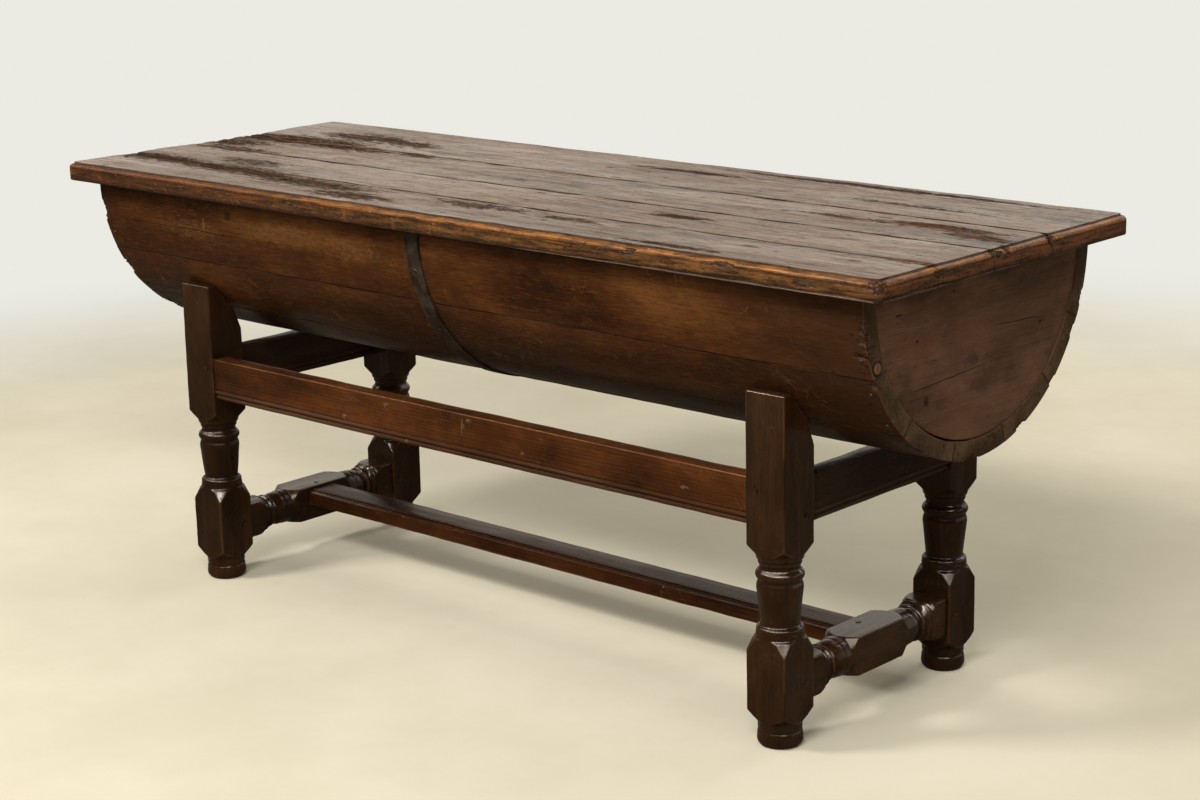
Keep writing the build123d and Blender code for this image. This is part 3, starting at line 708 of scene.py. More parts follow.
def timber(name, turn, shift, look, masks, extra=None):
    """An old waxed timber. Its colours run from the darkest grain to the lightest."""
    material, shader, here = start_finish(name, 0.4, look.coat, look.coat_roughness, look.specular)
    vector = placed(here, turn, shift)
    grain = timber_grain(vector=vector, ring_width=look.ring, wander=look.wander)
    edge, groove, worn = masks(here)
    age = old_surface(vector=vector, edge=edge, groove=groove, worn=worn)
    tone = summed(0.5, (grain.streaks, 0.5, look.streaks), (grain.fibres, 0.5, look.fibres),
                  (grain.rings, 0.3, -look.rings), (age.stains, 0.5, look.stains),
                  (age.blotches, 0.5, look.blotches))
    height = summed(0.0, (grain.fibres, 0.5, 0.35), (grain.streaks, 0.5, 0.6), (grain.rings, 0.3, 0.25),
                    (grain.pores, 0.0, -0.8), (age.dents, 0.0, -1.2), (age.pits, 0.0, -3.0),
                    (age.scratches, 0.0, -0.8))
    uneven_gloss = summed(0.5, (grain.streaks, 0.5, 0.5), (age.blotches, 0.5, 0.6))
    uneven_coat = summed(0.5, (grain.streaks, 0.5, -look.patchy), (age.stains, 0.5, look.patchy))
    polish = fade(uneven_coat, 0.1, 0.9, look.coat * 0.35, look.coat)
    polish = polish * (1.0 - grain.pores * look.pores)
    polish = polish * fade(grain.fibres, 0.1, 0.8, look.open_grain, 1.0)
    skin = Skin(here=here, grain=grain, age=age, colour=ramp(tone.held(), look.colours), height=height,
                roughness=fade(uneven_gloss, 0.0, 1.0, *look.rough), polish=polish)
    skin.lay(grain.pores * look.pores, look.colours[0])
    if extra:
        extra(skin)
    if isinstance(worn, Wire):
        channels = cloud(vector, (26.0, 150.0), 5.0, 0.7)
        worn = worn * fade(channels, 0.43, 0.53, 0.12, 1.0)
        skin.lay(worn * 0.85, blend(grain.fibres, (0.045, 0.025, 0.016), (0.200, 0.120, 0.075)))
        skin.roughness = skin.roughness + worn * 0.3
        skin.polish = skin.polish * (1.0 - worn).held()
    skin.lay(age.rubbed * look.rub, look.rubbed)
    skin.lay(age.grime * 0.85, look.grime)
    skin.lay(age.dents * 0.5, look.grime)
    skin.lay(age.pits * 0.65, look.grime)
    skin.lay(age.scratches * look.scratches, look.rubbed)
    skin.lay(age.flecks * look.flecks, (0.55, 0.48, 0.36))
    skin.roughen(age.grime, 0.25)
    feed_all(shader, Base_Color=skin.colour, Roughness=skin.roughness, Coat_Weight=skin.polish)
    raise_surface(shader, skin.height, look.relief)
    return material


def look_of(**changes):
    """The usual look of the box's timber, with these changes."""
    look = {"ring": 0.006, "wander": 0.03, "streaks": 0.35, "fibres": 0.15, "rings": 0.2, "stains": 0.4,
            "blotches": 0.35, "pores": 0.4, "rough": (0.30, 0.50), "coat": 0.35, "coat_roughness": 0.15,
            "specular": 0.12, "rub": 0.7, "rubbed": (0.17, 0.058, 0.022), "grime": (0.008, 0.005, 0.004),
            "relief": 0.0003, "flecks": 0.0, "scratches": 0.35, "open_grain": 0.8, "patchy": 0.7}
    return SimpleNamespace(**(look | changes))


STAND_LOOK = look_of(
    colours=((0.008, 0.004, 0.002), (0.024, 0.0095, 0.003), (0.056, 0.021, 0.006)), streaks=0.18,
    fibres=0.12, rings=0.12, rough=(0.24, 0.40), coat=0.55, coat_roughness=0.09, rub=0.34,
    specular=0.06, open_grain=0.9, scratches=0.2, rubbed=(0.130, 0.050, 0.020))
RAIL_LOOK = look_of(
    colours=((0.014, 0.005, 0.002), (0.056, 0.017, 0.004), (0.118, 0.036, 0.008)), flecks=0.6,
    rub=0.42, streaks=0.10, fibres=0.10, blotches=0.45, rough=(0.28, 0.46), coat=0.17,
    coat_roughness=0.12, specular=0.06, rubbed=(0.20, 0.070, 0.022))
DARK_RAIL_LOOK = look_of(
    colours=((0.007, 0.004, 0.002), (0.019, 0.009, 0.005), (0.036, 0.017, 0.008)), rub=0.3,
    streaks=0.2, rough=(0.28, 0.46), coat=0.24, coat_roughness=0.12, specular=0.05,
    rubbed=(0.09, 0.040, 0.018), scratches=0.15)
TROUGH_LOOK = look_of(
    colours=((0.020, 0.006, 0.002), (0.062, 0.020, 0.005), (0.125, 0.046, 0.011)), streaks=0.11,
    fibres=0.12, rings=0.08, stains=0.42, blotches=0.5, rough=(0.32, 0.50), coat=0.12,
    coat_roughness=0.16, rub=0.15, relief=0.00025, specular=0.06, rubbed=(0.20, 0.085, 0.030))
# Painted sheen, in part: the lid's colours are lighter than its dark brown timber, standing in for the grey
# sheen on its top.
LID_LOOK_WITH_PAINTED_SHEEN = look_of(
    colours=((0.018, 0.010, 0.006), (0.135, 0.078, 0.046), (0.240, 0.150, 0.095)), streaks=0.25,
    fibres=0.5, stains=0.25, pores=0.8, rough=(0.34, 0.56), coat=1.0, coat_roughness=0.16,
    specular=0.10, rub=0.3, open_grain=0.35, patchy=0.3, relief=0.0005, rubbed=(0.24, 0.10, 0.036),
    grime=PITCH)
END_LOOK = look_of(
    colours=((0.045, 0.023, 0.014), (0.120, 0.059, 0.035), (0.190, 0.090, 0.052)), streaks=0.12,
    fibres=0.16, rings=0.06, stains=0.35, blotches=0.6, rough=(0.40, 0.60), coat=0.2,
    coat_roughness=0.22, specular=0.08, rub=0.5, scratches=0.8, rubbed=(0.14, 0.075, 0.042))
PLUG_LOOK = look_of(
    colours=((0.040, 0.020, 0.010), (0.130, 0.062, 0.028), (0.200, 0.110, 0.055)), rings=0.4,
    rough=(0.45, 0.65), coat=0.1, stains=0.6)
BARE_LOOK = look_of(
    colours=((0.10, 0.06, 0.035), (0.17, 0.11, 0.068), (0.24, 0.165, 0.105)), rough=(0.55, 0.75),
    coat=0.0, rubbed=(0.26, 0.17, 0.10), rub=0.4)


def iron(name):
    """Old wrought iron: dark, a little rusty, and rubbed in places."""
    material, shader, here = start_finish(name, 0.5, 0.0, 0.3)
    coarse = cloud(here, 35.0, 5.0, 0.65)
    fine = cloud(here, 320.0, 4.0, 0.6)
    colour = blend(fade(coarse, 0.35, 0.65), (0.022, 0.017, 0.014), (0.062, 0.048, 0.038))
    colour = blend(fade(fine, 0.54, 0.7, 0.0, 0.7), colour, (0.070, 0.026, 0.011))
    feed_all(shader, Metallic=0.6, Base_Color=colour, Roughness=fade(coarse, 0.3, 0.7, 0.42, 0.66))
    raise_surface(shader, coarse + fine * 0.4, 0.0006, 0.7)
    return material


def cut_from(node, turn, from_pith, seed):
    """Where in its tree a piece is cut: its own place along the grain, this far from the pith."""
    low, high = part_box(node)
    middle = Matrix.Rotation(turn[2], 3, "Z") @ Matrix.Rotation(turn[1], 3, "Y") @ ((low + high) / 2)
    chance = np.random.default_rng(seed)
    return (chance.uniform(1.0, 9.0), from_pith * chance.uniform(-0.3, 0.3) - middle.y, from_pith - middle.z)


def shade(piece, smooth):
    """Shade a piece smooth all over, or only over edges flatter than an angle in degrees."""
    pick(piece)
    if smooth:
        bpy.ops.object.shade_smooth_by_angle(angle=math.radians(smooth))
    else:
        bpy.ops.object.shade_smooth()


def finish_piece(piece, node, body, turn, seed, look, masks, extra=None, *, from_pith, smooth=None):
    """Shade a piece, give it its timber, and let it stand for its node."""
    shade(piece, smooth)
    shift = cut_from(node, turn, from_pith, seed)
    piece.data.materials.append(timber(node + "_timber", turn, shift, look, masks, extra))
    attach(piece, body)
    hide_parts(node)


# ---- Stand -----------------------------------------------------------------------------------

# How long a stretcher's square end is, and over what length its corners are rounded off
STUB_LENGTH, STUB_FLARE = 0.040, 0.028


def make_legs():
    """The four turned legs."""
    for seed, node in enumerate(("leg_front_left", "leg_front_right", "leg_rear_left", "leg_rear_right")):
        leg = worn_copy(node, voxel=0.0016)
        uneven(leg, into_turning(node, axis=2), seed, depth=0.0006, length=0.07)
        mark_edges(leg)
        finish_piece(leg, node, "stand", GRAIN_ALONG_Z, seed, STAND_LOOK, turned_masks, from_pith=0.06)


def round_stubs(stretcher, node):
    """Round the corners of a stretcher's square ends off where they meet its turning."""
    middle, half = middle_and_half(node)
    places = places_of(stretcher)
    away = places[:, ::2] - middle[::2]
    radius = np.linalg.norm(away, axis=1)
    share = (np.abs(places[:, 1]) - LEG_INNER + STUB_LENGTH) / STUB_FLARE
    round_share, square_share = 0.985, math.sqrt(2)
    rise = np.sqrt(1 - np.clip(1 - share, 0, 1) ** 2)
    most = half[0] * (round_share + (square_share - round_share) * rise)
    cut = np.where((share > -0.15) & (share < 1), np.maximum(radius - most, 0), 0)
    places[:, ::2] -= away * (cut / np.maximum(radius, 0.001))[:, None]
    write_places(stretcher, places)


def make_stretchers():
    """The two turned end stretchers."""
    for seed, node in enumerate(("end_stretcher_left", "end_stretcher_right"), start=5):
        stretcher = worn_copy(node, voxel=0.0014)
        round_stubs(stretcher, node)
        mark_edges(stretcher)
        finish_piece(stretcher, node, "stand", GRAIN_ALONG_Y, seed, STAND_LOOK, turned_masks, from_pith=0.06)


# Bruises in the front rail's face: place along and up, half length and half width
RAIL_BRUISES = (
    (-0.159, 0.401, 0.007, 0.006), (-0.261, 0.365, 0.006, 0.006), (0.018, 0.392, 0.004, 0.018),
    (0.033, 0.404, 0.007, 0.004), (0.151, 0.370, 0.005, 0.005), (0.483, 0.375, 0.009, 0.004),
    (-0.115, 0.345, 0.004, 0.006),
)


def lies_along(node):
    """Whether a rail runs along the box, and not across it."""
    low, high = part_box(node)
    return high.x - low.x > high.y - low.y


def moulded(node):
    """What a rail's finish adds: its moulding's quirks darkened with dirt and painted shade, its rubbed arris
    and bead crowns lightened with painted highlights, and pale bruises.
    """
    low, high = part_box(node)

    def extra(skin):
        _, y, z = skin.here.parts()
        if node == "centre_stretcher":
            top = fade(z, high.z - 0.0040, high.z - 0.0012)
            aside = lesser(y - low.y, high.y - y)
            quirk_dirt_and_shade = band_of(aside, 0.0078, 0.0096) * top
            rubbed_and_highlit = greater(band_of(aside, 0.0020, 0.0052), band_of(aside, 0.0104, 0.0122)) * top
        else:
            rise = z - low.z
            quirk_dirt_and_shade = greater(band_of(rise, 0.0088, 0.0112), band_of(rise, 0.0190, 0.0204))
            rubbed_and_highlit = greater(band_of(rise, 0.0122, 0.0180), band_of(rise, 0.0030, 0.0080))
        # Painted light: bead crowns and arrises lightened as painted highlights, partly rubbed wear; quirks
        # darkened as painted shade, partly dirt.
        highlight_tint = (0.092, 0.050, 0.030) if lies_along(node) else (0.045, 0.027, 0.016)
        skin.lay(quirk_dirt_and_shade * 0.75, SOOT)
        skin.lay(rubbed_and_highlit * fade(skin.age.stains, 0.2, 0.8, 0.35, 1.0) * 0.65, highlight_tint)
        skin.height = summed(skin.height, (quirk_dirt_and_shade, 0.0, -2.5), (rubbed_and_highlit, 0.0, 1.5))
        for along, up, half_length, half_width in RAIL_BRUISES if node == "rail_front" else ():
            size = (half_length, 0.02, half_width)
            bruise = skin.spot((along, low.y, up), size)
            pit = skin.spot((along + half_length * 0.3, low.y, up - half_width * 0.4),
                            tuple(0.55 * part for part in size))
            skin.lay(bruise * 0.40, (0.24, 0.15, 0.08))
            skin.lay(pit * 0.9, (0.012, 0.007, 0.004))
            skin.cut(bruise, 1.5)
    return extra


def make_rails():
    """The moulded rails and the centre board."""
    rails = ("rail_front", "rail_rear", "rail_left", "rail_right", "centre_stretcher")
    for seed, node in enumerate(rails, start=10):
        rail = planed_copy(node, steps=(0.02, 0.02, 0.0075), arris=0.0009)
        uneven(rail, into_board(node), seed, depth=0.0008, length=0.09)
        turn, look = (GRAIN_ALONG_X, RAIL_LOOK) if lies_along(node) else (GRAIN_ALONG_Y, DARK_RAIL_LOOK)
        finish_piece(rail, node, "stand", turn, seed, look, board_masks(node, width=0.0045), moulded(node),
                     from_pith=0.08, smooth=40)


# ---- Trough ----------------------------------------------------------------------------------

# Each stave's two seams, and the chips in its ends: right end or left, angle round the trough,
# half sizes and depth
STAVES = {
    "stave_front_rim": (-math.pi / 2, -RIM_SEAM, (
        (1, -80.0, (0.010, 0.012, 0.011), 0.0060),
        (1, -76.5, (0.014, 0.012, 0.010), 0.0070),
        (1, -72.0, (0.024, 0.014, 0.003), 0.0100),
        (-1, -79.0, (0.012, 0.012, 0.020), 0.0050))),
    "stave_front_side": (-RIM_SEAM, -SIDE_SEAM, (
        (1, -62.5, (0.010, 0.010, 0.010), 0.0040),
        (-1, -55.0, (0.014, 0.012, 0.022), 0.0050))),
    "stave_front_belly": (-SIDE_SEAM, -BELLY_SEAM, (
        (1, -31.0, (0.010, 0.014, 0.008), 0.0040),
        (-1, -30.0, (0.012, 0.024, 0.012), 0.0045))),
    "stave_bottom": (-BELLY_SEAM, BELLY_SEAM, (
        (1, -4.0, (0.010, 0.018, 0.008), 0.0045),
        (-1, 6.0, (0.012, 0.022, 0.010), 0.0045))),
    "stave_rear_belly": (BELLY_SEAM, SIDE_SEAM, (
        (1, 23.0, (0.013, 0.016, 0.011), 0.0050),
        (-1, 32.0, (0.012, 0.016, 0.010), 0.0050))),
    "stave_rear_side": (SIDE_SEAM, RIM_SEAM, (
        (1, 42.5, (0.012, 0.010, 0.012), 0.0030),
        (1, 60.0, (0.012, 0.009, 0.016), 0.0024))),
    "stave_rear_rim": (RIM_SEAM, math.pi / 2, (
        (1, 71.0, (0.010, 0.009, 0.018), 0.0028),
        (-1, 76.0, (0.012, 0.010, 0.014), 0.0050))),
}

# Golden worn patches and dark spots on the trough's front: place along, angle, half sizes along
# and round the stave
GOLD_PATCHES = ((-0.36, -80.5, 0.11, 0.026), (-0.18, -79.0, 0.08, 0.026), (-0.60, -77.0, 0.10, 0.020))
TROUGH_SPOTS = (
    (-0.491, -84.0, 0.010, 0.010), (0.229, -82.0, 0.014, 0.008), (0.249, -77.5, 0.020, 0.012),
    (0.817, -78.7, 0.004, 0.004), (0.770, -65.5, 0.004, 0.004), (0.731, -58.0, 0.003, 0.003),
    (0.815, -55.0, 0.004, 0.004), (0.833, -85.0, 0.007, 0.0022), (0.834, -82.5, 0.008, 0.0025),
    (0.833, -80.4, 0.006, 0.0020), (0.834, -78.6, 0.007, 0.0020), (0.832, -76.6, 0.008, 0.0022),
    (0.826, -73.2, 0.014, 0.0022), (0.832, -69.5, 0.006, 0.0030), (0.822, -66.8, 0.012, 0.0020),
)


def front_marks(skin, scratchy):
    """Gold patches, dark spots and a long split on the front of the trough."""
    for along, angle, half_length, half_width in GOLD_PATCHES:
        gold = skin.spot(round_place(along, angle), (half_length, 0.05, half_width))
        skin.lay(gold * fade(scratchy, 0.46, 0.60, 0.10, 0.42), (0.180, 0.085, 0.027))
    for along, angle, half_length, half_width in TROUGH_SPOTS:
        dark = skin.spot(round_place(along, angle), (half_length, 0.02, half_width))
        skin.lay(dark * 0.7, (0.014, 0.007, 0.004))
    split = crack_effect(vector=skin.here, start=-0.83, finish=-0.46, place=0.6515,
                         across=(0.0, 0.0, 1.0), width=0.0009).mask
    skin.lay(split * 0.9, TAR)
    skin.cut(split, 3.0)


def stave_end_colour(skin, z, scratchy, plugged):
    """Dirty end grain, with painted shade near the rim where the lid shades it, and darker round the plug."""
    end = blend(skin.age.blotches, (0.040, 0.025, 0.014), (0.125, 0.080, 0.042))
    end = blend(fade(scratchy, 0.54, 0.60, 0.0, 0.85), end, SMOKE)
    # Painted shade: darker towards the rim, under the lid.
    end = blend(fade(z, RIM_Z - 0.120, RIM_Z - 0.050, 0.0, 0.6), end, SMOKE)
    if plugged:
        from_plug = (skin.here - PLUG_PLACE).length()
        end = blend(fade(from_plug, 0.0105, 0.0125, 0.9, 0.0), end, PITCH)
    return end


def trough_extra(node, middle, spread):
    """What a stave's finish adds: dark and pale flecks, painted shade along the top where the lid's edge
    shades it, gold near the rim, a darker belly and right end, and bare timber inside.
    """
    def extra(skin):
        here = skin.here
        x, _, z = here.parts()
        # Darker towards the bottom of the belly.
        skin.lay(fall(z, RIM_Z - 0.245, RIM_Z - 0.105) * 0.80, (0.014, 0.007, 0.005))
        # Painted shade along the staves' top, where the lid's edge shades them.
        skin.lay(fade(z, RIM_Z - 0.022, RIM_Z - 0.004, 0.0, 0.75), TAR)
        short = cloud(here, (55.0, 300.0), 3.0, 0.6)
        skin.lay(fade(short, 0.54, 0.66) * 0.42, (0.020, 0.009, 0.004))
        skin.lay(fade(short, 0.46, 0.34) * 0.16, (0.190, 0.080, 0.024))
        # Darker towards the right end.
        skin.lay(fade(x, 0.42, 0.82, 0.0, 0.5), (0.034, 0.016, 0.008))
        scratchy = cloud(here, (90.0, 150.0), 5.0, 0.8, 0.6)
        if "front" in node:
            front_marks(skin, scratchy)
        about = stave_arris(vector=here, middle=middle, spread=spread, width=0.003)
        skin.unwax(about.inside, 1.0 + 0.16 * math.sin(9.0 * middle), 0.3)
        skin.lay(about.end * 0.9, stave_end_colour(skin, z, scratchy, node == "stave_front_rim"))
        skin.roughen(about.end, 0.15)
        skin.lay(about.seam * 0.9, SOOT)
    return extra


def make_staves():
    """The seven staves."""
    for seed, (node, (start, finish, chips)) in enumerate(STAVES.items(), start=20):
        hollows = [(round_place(side * TROUGH_END, angle), half, depth) for side, angle, half, depth in chips]
        stave = planed_copy(node, steps=(0.018, 1.0, 1.0), arris=0.0007)
        middles = read_rows(stave.data.polygons, "center")
        near = np.zeros(len(middles), bool)
        for place, half, _ in hollows:
            near |= in_reach(middles, place, half, grow=2.2, margin=0.006) < 1
        refine(stave, near, cuts=5)
        uneven(stave, into_stave, seed, depth=0.0009, length=0.11)
        carve(stave, hollows, into_stave_end, grain_length=0.012, grain_width=0.004)
        middle, spread = (start + finish) / 2, (finish - start) / 2
        finish_piece(stave, node, "trough", GRAIN_ALONG_X, seed, TROUGH_LOOK, stave_masks(middle, spread),
                     trough_extra(node, middle, spread), from_pith=0.09, smooth=30)


def shrink_rim(board):
    """Open a thin gap under an end board, where it has shrunk from the staves."""
    places = places_of(board)
    flat, radius = from_trough_axis(places)
    angle = np.degrees(np.arctan2(flat[:, 1], -flat[:, 2]))
    widest, gap_middle, gap_half_angle = 0.0030, -16, 34
    gap = widest * np.clip(1 - ((angle - gap_middle) / gap_half_angle) ** 2, 0, 1)
    gap = gap * (radius > BORE_RADIUS - 0.004)
    write_places(board, places - flat / np.maximum(radius, 0.001)[:, None] * gap[:, None])


# Marks on the right end board: place across and up, half sizes, strength and colour
RED_BLOTCH = (0.150, 0.055, 0.030)
# The colour of a painted shadow under the lid's edge
LID_SHADOW_TINT = (0.020, 0.013, 0.010)
END_MARKS = (
    (-0.134, 0.622, 0.050, 0.026, 0.45, RED_BLOTCH), (-0.029, 0.625, 0.060, 0.030, 0.40, RED_BLOTCH),
    (0.004, 0.589, 0.050, 0.010, 0.30, (0.160, 0.070, 0.040)), (-0.132, 0.539, 0.006, 0.009, 0.9, PITCH),
    (-0.201, 0.675, 0.012, 0.002, 0.9, PITCH), (-0.156, 0.630, 0.003, 0.003, 0.9, PITCH),
    (-0.068, 0.688, 0.003, 0.003, 0.9, PITCH), (0.160, 0.604, 0.004, 0.003, 0.9, PITCH),
    (-0.02, 0.580, 0.022, 0.014, 0.5, (0.020, 0.012, 0.009)),
    (-0.06, 0.50, 0.10, 0.03, 0.4, (0.120, 0.050, 0.026)),
    # Painted shadow: two dark bands along the board's top, under the lid's edge.
    (0.06, 0.70, 0.10, 0.012, 0.5, LID_SHADOW_TINT), (-0.15, 0.70, 0.08, 0.012, 0.4, LID_SHADOW_TINT),
)
# Splits in it: from and to along its grain, the direction across each and where it lies that way.
# The left board has only the last two.
END_SPLITS = (
    (0.078, 0.132, (-0.731, 0.0, 0.682), 0.3812), (-0.215, -0.185, (0.64, 0.0, 0.768), 0.3805),
    (0.02, 0.19, (0.05, 0.0, 1.0), 0.6205), (-0.18, 0.02, (-0.04, 0.0, 1.0), 0.566),
)


def marked_end(node):
    """What an end board's finish adds: blotches, worm holes and splits, and bare timber inside."""
    low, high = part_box(node)
    inner = min(abs(low.x), abs(high.x))
    marks, splits = (END_MARKS, END_SPLITS) if node == "end_board_right" else ((), END_SPLITS[2:])

    def extra(skin):
        x, _, _ = skin.here.parts()
        for across, up, half_width, half_height, strength, tint in marks:
            mark = skin.spot((high.x, across, up), (0.02, half_width, half_height))
            skin.lay(mark * strength, tint)
            if tint == PITCH:
                skin.cut(mark, 3.0)
        along = placed(skin.here, GRAIN_ALONG_Y, ORIGIN)
        for start, finish, across, place in splits:
            split = crack_effect(vector=along, start=start, finish=finish, place=place, across=across,
                                 width=0.0011).mask
            skin.lay(split * 0.85, PITCH)
            skin.cut(split, 3.0)
        skin.unwax(fall(abs(x), inner + 0.0008, inner + 0.0030), 0.9, 0.25)
    return extra


def make_end_boards():
    """The two half-round end boards."""
    for seed, node in enumerate(("end_board_left", "end_board_right"), start=30):
        board = planed_copy(node, steps=(1.0, 0.012, 0.012), arris=0.0008)
        uneven(board, into_board_face(node), seed, depth=0.0008, length=0.10)
        shrink_rim(board)
        finish_piece(board, node, "trough", GRAIN_ALONG_Y, seed, END_LOOK, board_masks(node, width=0.003),
                     marked_end(node), from_pith=0.14, smooth=30)


def make_plug():
    """The turned plug that fills an old hole in a stave's end."""
    depth = 0.012
    bpy.ops.object.select_all(action="DESELECT")
    bpy.ops.mesh.primitive_cylinder_add(vertices=36, radius=0.0080, depth=depth,
                                        location=Vector(PLUG_PLACE) - Vector((depth / 2, 0.0, 0.0)),
                                        rotation=(0.0, math.pi / 2, 0.0))
    plug = bpy.context.active_object
    plug.name = "stave_end_plug"
    bpy.ops.object.transform_apply(location=True, rotation=True, scale=True)
    ease_arrises(plug, 0.0012, 3)
    shade(plug, smooth=40)
    plug.data.materials.append(timber("plug_timber", GRAIN_ALONG_Z, (2.0, 0.01, -0.60), PLUG_LOOK, no_masks))
    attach(plug, "trough")


# ---- Lid -------------------------------------------------------------------------------------

# Knots in the lid's top: place along and across, half length and half width
LID_KNOTS = (
    (-0.444, 0.094, 0.015, 0.006), (-0.084, 0.011, 0.019, 0.006), (0.043, -0.242, 0.011, 0.004),
    (0.046, -0.196, 0.009, 0.003), (0.242, -0.218, 0.012, 0.006), (0.365, -0.108, 0.022, 0.011),
    (0.505, -0.296, 0.019, 0.006), (0.597, -0.228, 0.018, 0.008), (0.455, 0.033, 0.009, 0.007),
    (0.034, 0.119, 0.013, 0.005), (-0.046, 0.193, 0.012, 0.005), (0.090, 0.236, 0.017, 0.006),
    (0.034, -0.064, 0.012, 0.005), (0.175, -0.245, 0.011, 0.004), (0.778, -0.223, 0.015, 0.006),
    (0.616, 0.073, 0.017, 0.005), (0.772, -0.034, 0.012, 0.004), (0.806, -0.009, 0.011, 0.003),
)
# Where the top is worm-eaten and dull
LID_EATEN = (
    (-0.80, -0.190, 0.26, 0.051), (-0.56, -0.200, 0.26, 0.057), (-0.34, -0.225, 0.22, 0.051),
    (-0.20, -0.270, 0.14, 0.045), (-0.84, 0.020, 0.16, 0.075), (-0.76, -0.040, 0.16, 0.039),
    (-0.80, 0.088, 0.22, 0.069), (-0.62, 0.086, 0.22, 0.045), (-0.70, 0.120, 0.22, 0.051),
    (-0.64, 0.192, 0.18, 0.069), (-0.52, 0.180, 0.10, 0.051), (-0.42, 0.092, 0.08, 0.027),
    (-0.60, -0.130, 0.12, 0.045), (0.10, 0.235, 0.20, 0.020), (0.46, 0.285, 0.46, 0.020),
    (0.365, -0.104, 0.10, 0.024), (0.60, 0.040, 0.20, 0.018), (0.74, 0.052, 0.16, 0.034),
    (0.83, 0.015, 0.10, 0.026), (0.50, -0.290, 0.16, 0.018), (0.05, -0.215, 0.16, 0.034),
    (0.24, -0.220, 0.10, 0.022), (0.60, 0.180, 0.20, 0.015), (0.86, -0.19, 0.08, 0.016),
)
# Worn orange timber in the top
LID_BARE = ((0.72, 0.052, 0.075, 0.022), (0.82, 0.020, 0.050, 0.016), (0.578, 0.026, 0.050, 0.006),
            (0.849, -0.188, 0.030, 0.006), (-0.74, 0.10, 0.12, 0.014))


def nearness(here, middle, half):
    """1 at a place, falling evenly to 0 at the edge of an oval round it."""
    return (1.0 - ((here - middle) / half).length()).held()


def lid_top(skin, low, high, y, from_end):
    """Lay the top's worm-eaten dashes, knots, bare patches, seams and painted glints beside them. Returns the
    seams' mask.
    """
    here = skin.here
    tired = 0.0
    for along, across, half_length, half_width in LID_EATEN:
        if low.y - half_width < across < high.y + half_width:
            tired = greater(tired, nearness(here, (along, across, LID_TOP), (half_length, half_width, 0.05)))
    tired = fade(tired, 0.0, 0.75)
    loose = fade(cloud(here, (17.0, 85.0, 40.0), 6.0, 0.75) + tired * 0.17, 0.62, 0.67)
    dashes = fade(cloud(here, (42.0, 150.0, 60.0), 5.0, 0.75) + tired * 0.15, 0.605, 0.635)
    lines = fade(cloud(here, (7.0, 115.0, 40.0), 4.0, 0.7), 0.52, 0.62)
    skin.lay(loose * 0.85, blend(skin.grain.fibres, (0.034, 0.018, 0.010), (0.150, 0.088, 0.054)))
    skin.lay(dashes * 0.92, BOG)
    skin.lay(lines * 0.45, (0.040, 0.022, 0.013))
    dull = greater(greater(loose * 0.85, dashes), lines * 0.38)
    for along, across, half_length, half_width in LID_KNOTS:
        if low.y < across < high.y:
            knot = skin.spot((along, across, LID_TOP), (half_length, half_width, 0.02))
            skin.lay(knot * 0.8, BOG)
            dull = greater(dull, knot * 0.7)
    skin.cut(dull, 1.2)
    for along, across, half_length, half_width in LID_BARE:
        if low.y - 0.02 < across < high.y + 0.02:
            bare = skin.spot((along, across, LID_TOP), (half_length, half_width, 0.02))
            skin.lay(bare * 0.8, (0.24, 0.095, 0.038))
            dull = greater(dull, bare * 0.8)
    seams = 0.0
    for seam in (low.y, high.y):
        if LID_FRONT + 0.01 < seam < LID_BACK - 0.01:
            thick = fade(cloud(here, (9.0, 20.0, 1.0), 4.0, 0.7), 0.35, 0.70, 0.0010, 0.0042)
            off = abs(y - seam) - thick
            line = fall(off, 0.0, 0.0006) * fade(from_end, 0.004, 0.010, 0.42, 1.0)
            skin.lay(line * 0.92, (0.016, 0.009, 0.006))
            dull = greater(dull, line)
            seams = greater(seams, line)
            # Painted highlight: orange glints on the seams' arrises in the worn parts.
            glint = fall(off, 0.0008, 0.0024) * fade(loose, 0.1, 0.4)
            skin.lay(glint * 0.3, (0.26, 0.11, 0.04))
    skin.polish = skin.polish * (1.0 - dull).held()
    skin.roughen(dull, 0.4)
    return seams


